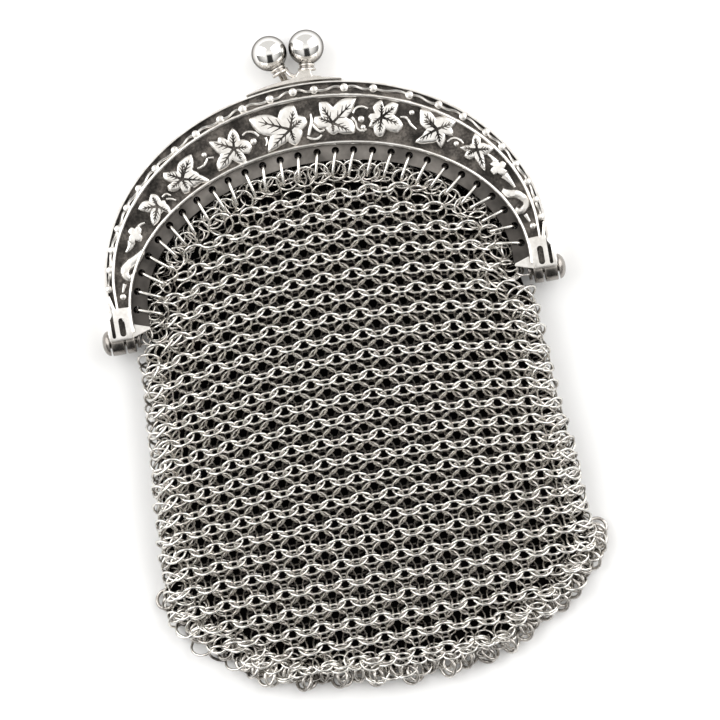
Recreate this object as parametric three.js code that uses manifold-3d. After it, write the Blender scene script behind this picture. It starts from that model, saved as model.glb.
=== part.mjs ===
// A metal mesh coin purse lying on its back, in millimetres.
// X is the width, Y runs from the fringe up to the clasp balls and Z points up from the surface.
// The hinge axis is the line y = 0, z = FRAME_DEPTH / 2 until the last step moves the origin.
import * as THREE from 'three';
import { mergeVertices } from 'three/addons/utils/BufferGeometryUtils.js';
import Module from 'manifold-3d';

const wasm = await Module();
wasm.setup();

// Clearances
const GAP = 0.3; // between neighbours that do not touch
const SEAT_GAP = 0.15; // between the saddle plates and the arch that they sit on
const SINK = 0.2; // how far a raised form reaches into the metal that carries it

// Frame arch
const FRAME_WIDTH = 68.8; // over the outline, without the hinges
const FRAME_TOP = 34.6; // top of the arch above the hinge axis
const OUTER_SPRING = 7; // height of the widest place of the outer lines
const INNER_SPRING = 3; // the same for the lines round the mouth
const FRAME_DEPTH = 8.2; // both halves, without the relief
const METAL = 0.9; // thickness of the frame's walls
const RELIEF = 0.55; // height of ribs and ornament above their ground
const RIM = 0.4; // width of the thin outer rim
const BAND_WIDTH = 1.7; // ground of the outer band at the top
const RIB = 0.65; // width of each rib
const MAIN_BAND = 6.7; // ground of the leaf band at the top
const SIDE_SQUEEZE = 0.19; // the leaf band's width at the sides, as a share of that at the top
const SIDE_BAND = 0.52; // the same for the outer band
const SIDE_RIB = 0.85; // the same for the ribs
const SIDE_HOLES = 0.75; // the same for the distance from the inner rib to the holes
const BEVEL = 0.75; // how far the outer band slopes back
const FLANGE = 2.3; // width of the pierced flange
const FLANGE_THICKNESS = 0.8;
const FLANGE_DROP = 1.55; // from the frame's face down to the flange
const FOOT_ANGLE = 0.087; // how far the arch runs on below its widest place, in radians
const ARCH_STEPS = 24;

// Ornament
const LEAF_NOTCH = 0.5; // reach of the notch between two lobes, as a share of the leaf's reach
const LEAF_SHOULDER = 0.75; // reach of a lobe's two shoulders beside its tip
const LEAF_STRETCH = 1.25; // one lobe of each leaf is longer
const BERRY_RADIUS = 0.42;
const TENDRIL_WIDTH = 0.42;
const VINE_KNOBS = 24;
const VINE_START = 4; // degrees from the foot of the arch to the first knob
const KNOB_RADIUS = 0.42;
const KNOB_SIDES = 5;
const KNOB_SWAY = 0.14; // from the middle of the outer band, as a share of its width

// Holes and loops of the flange
const HOLE_COUNT = 28;
const HOLE_RADIUS = 0.58;
const HOLE_SIDES = 6;
const HOLE_FROM_RIB = 0.85; // from the inner rib to the middle of a hole
const LOOP_WIRE = 0.24; // radius of the loops' wire
const LOOP_LENGTH = 4.5;
const LOOP_HEIGHT = 2.3;
const LOOP_PAST_HOLE = 0.3; // how far a loop reaches beyond the middle of its hole
const LOOP_SIDES = 10;
const LOOP_SQUARENESS = 0.6; // 1 would make the loop's ends elliptic
const WIRE_SIDES = 5;
const ROLL_RADIUS = 0.7; // of the plain roll that stands for the back loops

// Hinges
const KNUCKLE_RADIUS = 2.05;
const KNUCKLE_LENGTH = 2.0;
const INNER_KNUCKLE_LENGTH = 1.4;
const PIN_RADIUS = 0.8;
const PIN_HEAD_RADIUS = 1.95;
const PIN_HEAD_HEIGHT = 1.1;
const PIN_EDGE = 0.3; // straight edge of the head below its dome
const PIN_WASHER = 0.5;
const PIN_WASHER_RADIUS = 1.45;
const BLOCK_HEIGHT = 7.2; // the end block, up from the hinge axis
const BLOCK_FLARE = 0.6; // how far the block's foot stands out beyond the arch
const SLOT_LENGTH = 2.9;
const SLOT_WIDTH = 0.95;
const SLOT_DEPTH = 0.7;
const SLOT_HEIGHT = 2.1; // middle of the slot above the hinge axis
const SLOT_FROM_EDGE = 2.25; // middle of the slot from the block's outer side
const GROOVE_LENGTH = 1.9; // the second, narrower slot
const GROOVE_WIDTH = 0.5;
const GROOVE_HEIGHT = 1.6;
const GROOVE_FROM_EDGE = 0.75;
const BLOCK_LIP = 0.15; // from the hinge axis up to the block
const BLOCK_WAIST = 5; // height of the narrow place above the flare
const KNUCKLE_SIDES = 12;

// Clasp
const BALL_RADIUS = 2.75;
const STEM_HEIGHT = 2.75; // from the arch's top to the balls' lowest point
const BALL_HEIGHT = FRAME_TOP + STEM_HEIGHT + BALL_RADIUS; // centre of the balls above the hinge axis
const BALL_MIDDLE = -0.4; // the place between the balls, from the purse's middle
const COLLAR_RADIUS = 1.35;
const COLLAR_NECK = 1; // radius of the collar above and below its ridge
const COLLAR_HEIGHT = 0.85;
const COLLAR_SHIFT = 0.4; // the collars stand this much nearer together than the balls
const COLLAR_TILT = 0.2; // radians
const STEM_RADIUS = 0.62;
const STEM_FOOT = 2.06; // from the middle of the clasp to a stem's foot
const SADDLE_LENGTH = 15;
const SADDLE_THICKNESS = 0.5;
const SADDLE_EDGE = 0.12; // its thickness at both ends

// Bag
const BAG_WIDTH = 66; // at its widest, near the bottom corners
const BAG_SHOULDER = 60.4; // width just below the hinges
const BAG_CORNER = 41; // height of the bottom corners, below the hinge axis
const BAG_DROP = 16.3; // from the corners to the bottom of the curve
const BAG_DEPTH = 7.8;
const MOUTH_FOOT = 1; // the mouth's ends lie this far below the hinge axis
const MOUTH_SQUEEZE = 0.72; // the mouth's inset at its sides, as a share of that at the top
const NECK = 2; // height over which the bag widens below the hinges
const ROUNDNESS = 0.45; // how full the bag's section is; 1 would be an ellipse
const FRONT_WALL = 2.0; // two layers of rings lie close together in the front wall
const BACK_WALL = 1.6;
const SEAM_DEPTH = 2.4;
const BAG_COLUMNS = 12;
const HOLLOW_END = 0.94; // how far down the bag its hollow reaches
const LINING_WALL = 1.0;
const LINING_INSET = 1.7; // from the bag's mouth and side walls to the lining
const LINING_END = 0.9; // how far down the bag the lining reaches

// Fringe
const FRINGE_RINGS = 28;
const FRINGE_RING_RADIUS = 1.55;
const SMALL_RING = 0.85; // size of every other ring, as a share of the larger ones
const LARGE_RING_DROP = 0.75; // from the strip to a ring's middle, as a share of its radius
const SMALL_RING_DROP = 0.4;
const LOBE_SIDES = 8;
const FRINGE_HOLE_RADIUS = 0.85;
const FRINGE_HEAD = 0.7;
const FRINGE_THICKNESS = 1.2;

// Places worked out from the sizes above
const MIDDLE = FRAME_DEPTH / 2;
const PARTING = MIDDLE + GAP / 4; // where a half's walls begin; nothing of the other half comes nearer
const FACE = FRAME_DEPTH - RELIEF; // ground of the leaf band
const FLANGE_TOP = FRAME_DEPTH - FLANGE_DROP;
const FLANGE_BOTTOM = FLANGE_TOP - FLANGE_THICKNESS;
const FLANGE_MIDDLE = (FLANGE_TOP + FLANGE_BOTTOM) / 2;
const HALF_WIDTH = FRAME_WIDTH / 2;

// Each line of the arch is half an ellipse that runs on straight at both feet.
function archLine(sideInset, topInset, spring) {
  const halfWidth = HALF_WIDTH - sideInset;
  const rise = FRAME_TOP - topInset - spring;
  return (angle) => {
    const below = Math.max(-angle, angle - Math.PI, 0);
    const side = angle < Math.PI / 2 ? 1 : -1;
    if (below > 0) return new THREE.Vector2(side * halfWidth, spring - rise * below);
    return new THREE.Vector2(halfWidth * Math.cos(angle), spring + rise * Math.sin(angle));
  };
}

const bandInset = RIM + BAND_WIDTH;
const leafTop = bandInset + RIB;
const mouthTop = leafTop + MAIN_BAND;
const ribOneSide = bandInset * SIDE_BAND;
const leafSide = ribOneSide + RIB * SIDE_RIB;
const ribTwoSide = leafSide + MAIN_BAND * SIDE_SQUEEZE;
const mouthSide = ribTwoSide + RIB;
const lines = {
  outline: archLine(0, 0, OUTER_SPRING),
  rimInner: archLine(RIM, RIM, OUTER_SPRING),
  ribOneOuter: archLine(ribOneSide, bandInset, OUTER_SPRING),
  ribOneCrest: archLine((ribOneSide + leafSide) / 2, bandInset + RIB / 2, OUTER_SPRING),
  ribOneInner: archLine(leafSide, leafTop, OUTER_SPRING),
  ribTwoOuter: archLine(ribTwoSide, mouthTop, INNER_SPRING),
  ribTwoCrest: archLine(ribTwoSide + RIB * SIDE_RIB / 2, mouthTop + RIB / 2, INNER_SPRING),
  ribTwoInner: archLine(ribTwoSide + RIB * SIDE_RIB, mouthTop + RIB, INNER_SPRING),
  holes: archLine(mouthSide + HOLE_FROM_RIB * SIDE_HOLES, mouthTop + RIB + HOLE_FROM_RIB, INNER_SPRING),
  flangeInner: archLine(mouthSide + FLANGE, mouthTop + RIB + FLANGE, INNER_SPRING),
  cavityInner: archLine(ribTwoSide - METAL / 2, mouthTop - METAL, INNER_SPRING),
  cavityOuter: archLine(METAL, METAL, OUTER_SPRING),
};

// Turns a geometry into a solid for joining and cutting.
function solid(geometry) {
  const bare = geometry.clone();
  bare.deleteAttribute('normal');
  bare.deleteAttribute('uv');
  const merged = mergeVertices(bare, 1e-4);
  return new wasm.Manifold(new wasm.Mesh({
    numProp: 3,
    vertProperties: new Float32Array(merged.attributes.position.array),
    triVerts: new Uint32Array(merged.index.array),
  }));
}

function geometryOf(body) {
  const mesh = body.getMesh();
  const geometry = new THREE.BufferGeometry();
  geometry.setAttribute('position', new THREE.BufferAttribute(new Float32Array(mesh.vertProperties), 3));
  geometry.setIndex(new THREE.BufferAttribute(new Uint32Array(mesh.triVerts), 1));
  geometry.computeVertexNormals();
  return geometry;
}

function unite(bodies) {
  return bodies.reduce((whole, body) => whole.add(body));
}

// A prism over an outline of [x, y] points, from z = low to z = high.
function prism(outline, low, high) {
  const shape = new THREE.Shape(outline.map(([x, y]) => new THREE.Vector2(x, y)));
  const geometry = new THREE.ExtrudeGeometry(shape, { depth: high - low, bevelEnabled: false });
  return geometry.translate(0, 0, low);
}

// The side faces between closed rings of equally many points
function loft(rings) {
  const size = rings[0].length;
  const positions = rings.flat().flatMap((point) => [point.x, point.y, point.z]);
  const faces = [];
  for (let row = 0; row < rings.length - 1; row += 1) {
    for (let place = 0; place < size; place += 1) {
      const next = (place + 1) % size;
      const [a, b] = [row * size + place, row * size + next];
      faces.push(a, b, b + size, a, b + size, a + size);
    }
  }
  return { positions, faces, size };
}

function geometryFrom({ positions, faces }) {
  const geometry = new THREE.BufferGeometry();
  geometry.setAttribute('position', new THREE.Float32BufferAttribute(positions, 3));
  geometry.setIndex(faces);
  return geometry;
}

// Sweeps a section round the arch. Each corner of the section is a line of the arch and a height.
function archSweep(section) {
  const rings = [];
  for (let step = 0; step <= ARCH_STEPS; step += 1) {
    const angle = -FOOT_ANGLE + (Math.PI + 2 * FOOT_ANGLE) * (step / ARCH_STEPS);
    rings.push(section.map(({ line, z }) => {
      const place = line(angle);
      return new THREE.Vector3(place.x, place.y, z);
    }));
  }
  const grid = loft(rings);
  const flat = section.map(({ line, z }) => new THREE.Vector2(line(0).x, z));
  const cap = THREE.ShapeUtils.triangulateShape(flat, []);
  const follows = (from, to) => to === (from + 1) % grid.size;
  const forward = cap.some(([a, b, c]) => follows(a, b) || follows(b, c) || follows(c, a));
  const last = (rings.length - 1) * grid.size;
  for (const [a, b, c] of cap) {
    if (forward) grid.faces.push(a, c, b, last + a, last + b, last + c);
    else grid.faces.push(a, b, c, last + a, last + c, last + b);
  }
  return orient(geometryFrom(grid));
}

// Turns the faces round if they point inwards.
function orient(geometry) {
  const place = geometry.attributes.position;
  const index = geometry.index.array;
  const [a, b, c] = [new THREE.Vector3(), new THREE.Vector3(), new THREE.Vector3()];
  let volume = 0;
  for (let face = 0; face < index.length; face += 3) {
    a.fromBufferAttribute(place, index[face]);
    b.fromBufferAttribute(place, index[face + 1]);
    c.fromBufferAttribute(place, index[face + 2]);
    volume += a.dot(b.cross(c));
  }
  if (volume < 0) {
    for (let face = 0; face < index.length; face += 3) {
      [index[face], index[face + 1]] = [index[face + 1], index[face]];
    }
  }
  return geometry;
}

// Angles along a line of the arch at equal distances.
function evenAngles(line, count) {
  const samples = 400;
  const lengths = [0];
  for (let step = 1; step <= samples; step += 1) {
    const [from, to] = [line(Math.PI * (step - 1) / samples), line(Math.PI * step / samples)];
    lengths.push(lengths[step - 1] + from.distanceTo(to));
  }
  return Array.from({ length: count }, (unused, place) => {
    const wanted = lengths[samples] * (place + 0.5) / count;
    const step = lengths.findIndex((length) => length >= wanted);
    return Math.PI * step / samples;
  });
}

const holePlaces = evenAngles(lines.holes, HOLE_COUNT).map((angle) => {
  const place = lines.holes(angle);
  const along = lines.holes(angle + 0.01).sub(lines.holes(angle - 0.01)).normalize();
  return { place, inward: new THREE.Vector2(-along.y, along.x) };
});

// Round posts along Z, for holes, knobs and berries.
function post(x, y, radius, low, high, sides) {
  const geometry = new THREE.CylinderGeometry(radius, radius, high - low, sides);
  return geometry.rotateX(Math.PI / 2).translate(x, y, (low + high) / 2);
}

function alongX(radius, from, to, sides) {
  const geometry = new THREE.CylinderGeometry(radius, radius, Math.abs(to - from), sides);
  return geometry.rotateZ(Math.PI / 2).translate((from + to) / 2, 0, MIDDLE);
}

// The ornament is placed by its angle along the arch, in degrees, and its share across the band.
function bandPlace(band, degrees, across) {
  const angle = THREE.MathUtils.degToRad(degrees);
  const inner = band.inner(angle);
  const outer = band.outer(angle);
  const place = inner.clone().lerp(outer, across);
  return { place, width: inner.distanceTo(outer) };
}

const leafBand = { inner: lines.ribTwoOuter, outer: lines.ribOneInner };
const vineBand = { inner: lines.ribOneOuter, outer: lines.rimInner };

// An ivy leaf has five pointed lobes: the angle of each tip from the leaf's top and its reach.
const leafLobes = [
  { turn: 0, reach: 1.0, half: 24 },
  { turn: 68, reach: 0.94, half: 22 },
  { turn: 137, reach: 0.86, half: 20 },
  { turn: 222, reach: 0.86, half: 20 },
  { turn: 291, reach: 0.94, half: 22 },
];

function leafOutline(centre, reach, turn, stretch) {
  const points = [];
  const add = (degrees, share) => {
    const angle = THREE.MathUtils.degToRad(degrees + turn);
    points.push([centre.x + share * reach * Math.cos(angle), centre.y + share * reach * Math.sin(angle)]);
  };
  leafLobes.forEach((lobe, index) => {
    const next = leafLobes[(index + 1) % leafLobes.length];
    const gap = ((next.turn - lobe.turn) + 360) % 360;
    const lobeReach = lobe.reach * (index === stretch ? LEAF_STRETCH : 1);
    add(lobe.turn - lobe.half, LEAF_SHOULDER * lobeReach);
    add(lobe.turn, lobeReach);
    add(lobe.turn + lobe.half, LEAF_SHOULDER * lobeReach);
    add(lobe.turn + gap / 2, LEAF_NOTCH);
  });
  return points;
}

// The leaves from the left hinge to the right: reach is a share of the band's width there.
const leaves = [
  { degrees: 141, across: 0.47, reach: 0.5, turn: 12, stretch: 3 },
  { degrees: 128, across: 0.5, reach: 0.55, turn: 20, stretch: 2 },
  { degrees: 110.4, across: 0.45, reach: 0.55, turn: 95, stretch: 2 },
  { degrees: 93.5, across: 0.48, reach: 0.58, turn: 88, stretch: 1 },
  { degrees: 81.8, across: 0.48, reach: 0.58, turn: 100, stretch: 4 },
  { degrees: 67.6, across: 0.5, reach: 0.53, turn: 80, stretch: 3 },
  { degrees: 51, across: 0.5, reach: 0.54, turn: 66, stretch: 3 },
  { degrees: 37.1, across: 0.52, reach: 0.5, turn: 95, stretch: 2 },
];

// Small round fruits beside the leaves
const berries = [
  { degrees: 119.2, across: 0.67 }, { degrees: 104.2, across: 0.38 }, { degrees: 73.8, across: 0.5 },
  { degrees: 58.7, across: 0.8 }, { degrees: 45.2, across: 0.42 },
  { degrees: 174.5, across: 0.5 }, { degrees: 3.5, across: 0.55 },
];

// Tendrils, hooks and buds as short bars: their places are angle and share across the band.
const tendrils = [
  { width: 1, route: [[123, 0.3], [120.5, 0.42], [119.4, 0.6]] },
  { width: 1, route: [[105.6, 0.68], [103.4, 0.72], [101.6, 0.52]] },
  { width: 1, route: [[89, 0.72], [88.2, 0.5], [86.6, 0.3], [88.8, 0.14], [90.6, 0.2]] },
  { width: 1, route: [[76.5, 0.62], [74, 0.76], [71.2, 0.66]] },
  { width: 1, route: [[76, 0.52], [75.2, 0.26], [72.8, 0.2]] },
  { width: 1, route: [[61, 0.5], [58.8, 0.48], [57, 0.66]] },
  { width: 1.9, route: [[151, 0.68], [153.5, 0.5], [156.5, 0.38]] },
  { width: 1.9, route: [[28.6, 0.72], [26, 0.55], [22.8, 0.5]] },
  { width: 1.5, route: [[159, 0.08], [160.5, 0.42], [164, 0.5], [166.4, 0.3]] },
  { width: 1.5, route: [[20.6, 0.1], [19, 0.46], [15.4, 0.52], [13, 0.3]] },
  { width: 1, route: [[169, 0.5], [171.6, 0.5]] },
  { width: 1, route: [[9.6, 0.5], [7, 0.5]] },
];

// A flat bar of a given width along a route of points.
function ribbonOutline(points, width) {
  const left = [];
  const right = [];
  points.forEach((point, index) => {
    const before = points[Math.max(index - 1, 0)];
    const after = points[Math.min(index + 1, points.length - 1)];
    const across = after.clone().sub(before).normalize();
    const offset = new THREE.Vector2(-across.y, across.x).multiplyScalar(width / 2);
    left.push([point.x + offset.x, point.y + offset.y]);
    right.unshift([point.x - offset.x, point.y - offset.y]);
  });
  return left.concat(right);
}

// The round knobs of the outer band's running vine, nearer its two edges in turn

function vineKnobs(low, high) {
  const pitch = (180 - 2 * VINE_START) / (VINE_KNOBS - 1);
  return Array.from({ length: VINE_KNOBS }, (unused, knob) => {
    const side = knob % 2 === 0 ? 1 : -1;
    const { place } = bandPlace(vineBand, VINE_START + pitch * knob, 0.5 + side * KNOB_SWAY);
    return solid(post(place.x, place.y, KNOB_RADIUS, low, high, KNOB_SIDES));
  });
}

// The end block below the arch's foot, with its flare over the hinge, for the right side
const blockHalf = HALF_WIDTH + BLOCK_FLARE;
const innerKnuckleFrom = blockHalf - KNUCKLE_LENGTH - GAP - INNER_KNUCKLE_LENGTH;
const blockInner = innerKnuckleFrom + GAP / 2;
const blockOutline = [
  [blockInner, BLOCK_LIP], [blockHalf, BLOCK_LIP], [blockHalf, BLOCK_WAIST / 2],
  [HALF_WIDTH - BLOCK_FLARE, BLOCK_WAIST], [HALF_WIDTH, BLOCK_HEIGHT],
  [HALF_WIDTH - bandInset, BLOCK_HEIGHT], [blockInner - SINK, BLOCK_WAIST],
];
const flangeFoot = lines.flangeInner(-FOOT_ANGLE);
const flangeFootOutline = [
  [blockInner + SINK, BLOCK_LIP], [blockInner - FLANGE, BLOCK_LIP + FLANGE_THICKNESS],
  [flangeFoot.x, flangeFoot.y - SINK], [flangeFoot.x + SINK / 2, flangeFoot.y + SINK],
  [blockInner + SINK, flangeFoot.y + SINK + METAL],
];

const mirrored = (outline) => outline.map(([x, y]) => [-x, y]).reverse();
const bothSides = (outline) => [outline, mirrored(outline)];

// An upright slot with round ends, for the block's two grooves.
function slotOutline(x, y, width, length) {
  const points = [];
  const radius = width / 2;
  const steps = 5;
  for (let step = 0; step <= steps; step += 1) {
    const angle = Math.PI * step / steps;
    points.push([x + radius * Math.cos(angle), y + (length / 2 - radius) + radius * Math.sin(angle)]);
  }
  const lower = points.map(([px, py]) => [2 * x - px, 2 * y - py]);
  return points.concat(lower);
}

// The front half's section, from the parting line over the face and back under it. The ribs are
// ridges.
const carvedSection = [
  { line: lines.outline, z: PARTING },
  { line: lines.outline, z: FRAME_DEPTH - BEVEL },
  { line: lines.rimInner, z: FACE - BEVEL },
  { line: lines.ribOneOuter, z: FACE },
  { line: lines.ribOneCrest, z: FRAME_DEPTH },
  { line: lines.ribOneInner, z: FACE },
  { line: lines.ribTwoOuter, z: FACE },
  { line: lines.ribTwoCrest, z: FRAME_DEPTH },
  { line: lines.ribTwoInner, z: FLANGE_TOP },
  { line: lines.flangeInner, z: FLANGE_TOP },
  { line: lines.flangeInner, z: FLANGE_BOTTOM },
  { line: lines.cavityInner, z: FLANGE_BOTTOM },
  { line: lines.cavityInner, z: FACE - METAL },
  { line: lines.cavityOuter, z: FACE - METAL - BEVEL },
  { line: lines.cavityOuter, z: PARTING },
];

// The back half's section is plain on its face.
const plainSection = [
  { line: lines.outline, z: PARTING },
  { line: lines.outline, z: FRAME_DEPTH - BEVEL },
  { line: lines.ribOneOuter, z: FRAME_DEPTH },
  { line: lines.ribTwoInner, z: FRAME_DEPTH },
  { line: lines.ribTwoInner, z: FLANGE_TOP },
  { line: lines.flangeInner, z: FLANGE_TOP },
  { line: lines.flangeInner, z: FLANGE_BOTTOM },
  { line: lines.cavityInner, z: FLANGE_BOTTOM },
  { line: lines.cavityInner, z: FACE - METAL },
  { line: lines.cavityOuter, z: FACE - METAL - BEVEL },
  { line: lines.cavityOuter, z: PARTING },
];

const outerKnuckle = { from: blockHalf - KNUCKLE_LENGTH, to: blockHalf };
const innerKnuckle = { from: innerKnuckleFrom, to: innerKnuckleFrom + INNER_KNUCKLE_LENGTH };

// One frame half in the front half's place, with its own knuckles and room for the other half's
function frameHalf(section, ownKnuckle, otherKnuckle, ornaments) {
  const parts = [solid(archSweep(section)), ...ornaments];
  for (const outline of bothSides(blockOutline)) parts.push(solid(prism(outline, PARTING, FRAME_DEPTH)));
  for (const outline of bothSides(flangeFootOutline)) {
    parts.push(solid(prism(outline, FLANGE_BOTTOM, FLANGE_TOP)));
  }
  let body = unite(parts);
  for (const side of [1, -1]) {
    const from = side * (otherKnuckle.from - GAP);
    const to = side * (otherKnuckle.to + GAP);
    const knuckle = alongX(KNUCKLE_RADIUS, side * ownKnuckle.from, side * ownKnuckle.to, KNUCKLE_SIDES);
    const boreFrom = side * (ownKnuckle.from - 1);
    const boreTo = side * (ownKnuckle.to + 1);
    const bore = alongX(PIN_RADIUS + GAP, boreFrom, boreTo, KNUCKLE_SIDES);
    body = body.subtract(solid(alongX(KNUCKLE_RADIUS + GAP, from, to, KNUCKLE_SIDES)));
    body = body.add(solid(knuckle)).subtract(solid(bore));
  }
  for (const { place } of holePlaces) {
    const hole = post(place.x, place.y, HOLE_RADIUS, FLANGE_BOTTOM - 1, FLANGE_TOP + 1, HOLE_SIDES);
    body = body.subtract(solid(hole));
  }
  return body;
}

function frontOrnaments() {
  const low = FACE - SINK;
  const bodies = vineKnobs(FACE - BEVEL - SINK, FRAME_DEPTH - BEVEL / 2);
  for (const leaf of leaves) {
    const { place, width } = bandPlace(leafBand, leaf.degrees, leaf.across);
    const outline = leafOutline(place, leaf.reach * width, leaf.turn, leaf.stretch);
    bodies.push(solid(prism(outline, low, FRAME_DEPTH)));
  }
  for (const { degrees, across } of berries) {
    const { place } = bandPlace(leafBand, degrees, across);
    bodies.push(solid(post(place.x, place.y, BERRY_RADIUS, low, FRAME_DEPTH, KNOB_SIDES)));
  }
  for (const { width, route } of tendrils) {
    const points = route.map(([degrees, across]) => bandPlace(leafBand, degrees, across).place);
    const outline = ribbonOutline(points, TENDRIL_WIDTH * width);
    bodies.push(solid(prism(outline, low, FRAME_DEPTH - SINK / 2)));
  }
  return bodies;
}

function frontFrame() {
  let body = frameHalf(carvedSection, outerKnuckle, innerKnuckle, frontOrnaments());
  for (const side of [1, -1]) {
    const slot = slotOutline(side * (blockHalf - SLOT_FROM_EDGE), SLOT_HEIGHT, SLOT_WIDTH, SLOT_LENGTH);
    const grooveX = side * (blockHalf - GROOVE_FROM_EDGE);
    const groove = slotOutline(grooveX, GROOVE_HEIGHT, GROOVE_WIDTH, GROOVE_LENGTH);
    for (const outline of [slot, groove]) {
      body = body.subtract(solid(prism(outline, FRAME_DEPTH - SLOT_DEPTH, FRAME_DEPTH + 1)));
    }
  }
  return geometryOf(body);
}

// A half turn about the upright axis of the hinge's plane makes the back half.
const toBack = new THREE.Matrix4().makeTranslation(0, 0, FRAME_DEPTH)
  .multiply(new THREE.Matrix4().makeScale(-1, 1, -1));

function backFrame() {
  return geometryOf(frameHalf(plainSection, innerKnuckle, outerKnuckle, [])).applyMatrix4(toBack);
}

// The hinge pin: a shaft, a domed head outside and a peened washer inside.
function hingePin(side) {
  const headAt = blockHalf + GAP;
  const tailAt = innerKnuckleFrom - GAP;
  const steps = 4;
  const dome = Array.from({ length: steps }, (unused, step) => {
    const angle = Math.PI / 2 * step / steps;
    const height = PIN_EDGE + (PIN_HEAD_HEIGHT - PIN_EDGE) * Math.sin(angle);
    return new THREE.Vector2(PIN_HEAD_RADIUS * Math.cos(angle), headAt + height);
  });
  const profile = [
    new THREE.Vector2(0, tailAt - PIN_WASHER),
    new THREE.Vector2(PIN_WASHER_RADIUS, tailAt - PIN_WASHER),
    new THREE.Vector2(PIN_WASHER_RADIUS, tailAt),
    new THREE.Vector2(PIN_RADIUS, tailAt),
    new THREE.Vector2(PIN_RADIUS, headAt),
    new THREE.Vector2(PIN_HEAD_RADIUS, headAt),
    ...dome,
    new THREE.Vector2(0, headAt + PIN_HEAD_HEIGHT),
  ];
  const geometry = new THREE.LatheGeometry(profile, KNUCKLE_SIDES);
  return geometryOf(solid(geometry.rotateZ(-side * Math.PI / 2).translate(0, 0, MIDDLE)));
}

const archTop = (x) => OUTER_SPRING + (FRAME_TOP - OUTER_SPRING) * Math.sqrt(1 - (x / HALF_WIDTH) ** 2);

// The curved plate on the arch that carries a stem, thickest in its middle
function saddleOutline() {
  const steps = 8;
  const low = [];
  const high = [];
  for (let step = 0; step <= steps; step += 1) {
    const x = BALL_MIDDLE + SADDLE_LENGTH * (step / steps - 0.5);
    const foot = archTop(x) + SEAT_GAP;
    low.push([x, foot]);
    high.unshift([x, foot + SADDLE_EDGE + SADDLE_THICKNESS * Math.sin(Math.PI * step / steps)]);
  }
  return low.concat(high);
}

// One half of the kiss-lock. Its ball stands over the parting line and its stem on its own half.
function clasp(side) {
  const ballX = BALL_MIDDLE + side * (BALL_RADIUS + GAP / 2);
  const saddleZ = MIDDLE + side * FRAME_DEPTH / 4;
  const saddleHalf = FRAME_DEPTH / 4 - BEVEL / 2 - GAP / 2;
  const footX = BALL_MIDDLE + side * STEM_FOOT;
  const foot = new THREE.Vector3(footX, archTop(footX) + SEAT_GAP + SADDLE_THICKNESS / 2, saddleZ);
  const neck = new THREE.Vector3(ballX - side * COLLAR_SHIFT, BALL_HEIGHT - BALL_RADIUS, MIDDLE);
  const bend = foot.clone().lerp(neck, 0.5).setX(footX);
  const route = new THREE.CatmullRomCurve3([
    foot, bend, neck, new THREE.Vector3(ballX, BALL_HEIGHT - BALL_RADIUS / 2, MIDDLE),
  ]);
  const round = new THREE.Shape().absarc(0, 0, STEM_RADIUS, 0, 2 * Math.PI);
  const sections = { steps: 5, curveSegments: 4, bevelEnabled: false, extrudePath: route };
  const collar = new THREE.LatheGeometry([
    new THREE.Vector2(0, -COLLAR_HEIGHT / 2),
    new THREE.Vector2(COLLAR_NECK, -COLLAR_HEIGHT / 2),
    new THREE.Vector2(COLLAR_RADIUS, 0),
    new THREE.Vector2(COLLAR_NECK, COLLAR_HEIGHT / 2),
    new THREE.Vector2(0, COLLAR_HEIGHT / 2),
  ], KNUCKLE_SIDES);
  return geometryOf(unite([
    solid(new THREE.SphereGeometry(BALL_RADIUS, 12, 8).translate(ballX, BALL_HEIGHT, MIDDLE)),
    solid(new THREE.ExtrudeGeometry(round, sections)),
    solid(collar.rotateZ(-side * COLLAR_TILT).translate(neck.x, neck.y - COLLAR_HEIGHT / 3, neck.z)),
    solid(prism(saddleOutline(), saddleZ - saddleHalf, saddleZ + saddleHalf)),
  ]));
}

// Rows of the bag from its mouth to its seam: middle height and half depth of a section.
const bagRows = [
  { down: 0, middle: 0.51, half: 0.37 },
  { down: 0.12, middle: 0.5, half: 0.45 },
  { down: 0.3, middle: 0.5, half: 0.5 },
  { down: 0.7, middle: 0.48, half: 0.48 },
  { down: 0.88, middle: 0.36, half: 0.36 },
  { down: 1, middle: SEAM_DEPTH / BAG_DEPTH / 2, half: SEAM_DEPTH / BAG_DEPTH / 2 },
];

function bagRow(down) {
  const after = Math.max(bagRows.findIndex((row) => row.down >= down), 1);
  const [from, to] = [bagRows[after - 1], bagRows[after]];
  const share = (down - from.down) / (to.down - from.down);
  return {
    middle: BAG_DEPTH * THREE.MathUtils.lerp(from.middle, to.middle, share),
    half: BAG_DEPTH * THREE.MathUtils.lerp(from.half, to.half, share),
  };
}

// The mouth follows the inner ends of the loops and the seam is the bottom curve.
const wireInset = LOOP_LENGTH - LOOP_PAST_HOLE - 3 * LOOP_WIRE;
const mouthInset = wireInset + 2 * LOOP_WIRE + GAP;
const holesTop = lines.holes(Math.PI / 2).y;
const holesHalf = lines.holes(0).x;
const mouthHalf = holesHalf - mouthInset * MOUTH_SQUEEZE;
const mouthRise = holesTop - mouthInset + MOUTH_FOOT;

function bagHalfWidth(y) {
  const shoulder = BAG_SHOULDER / 2;
  const neck = THREE.MathUtils.smoothstep(-y, MOUTH_FOOT, MOUTH_FOOT + NECK);
  const neckEnd = MOUTH_FOOT + NECK;
  const spread = THREE.MathUtils.clamp((-y - neckEnd) / (BAG_CORNER - neckEnd), 0, 1);
  const wide = shoulder + (BAG_WIDTH / 2 - shoulder) * spread;
  return mouthHalf + (wide - mouthHalf) * neck;
}

// Every row of the table and the place midway to the next, as far down as last
function downSteps(last) {
  const middles = bagRows.slice(1).map((row, index) => (row.down + bagRows[index].down) / 2);
  const steps = bagRows.map((row) => row.down).concat(middles).filter((down) => down < last);
  return [...steps.sort((one, other) => one - other), last];
}

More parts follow.
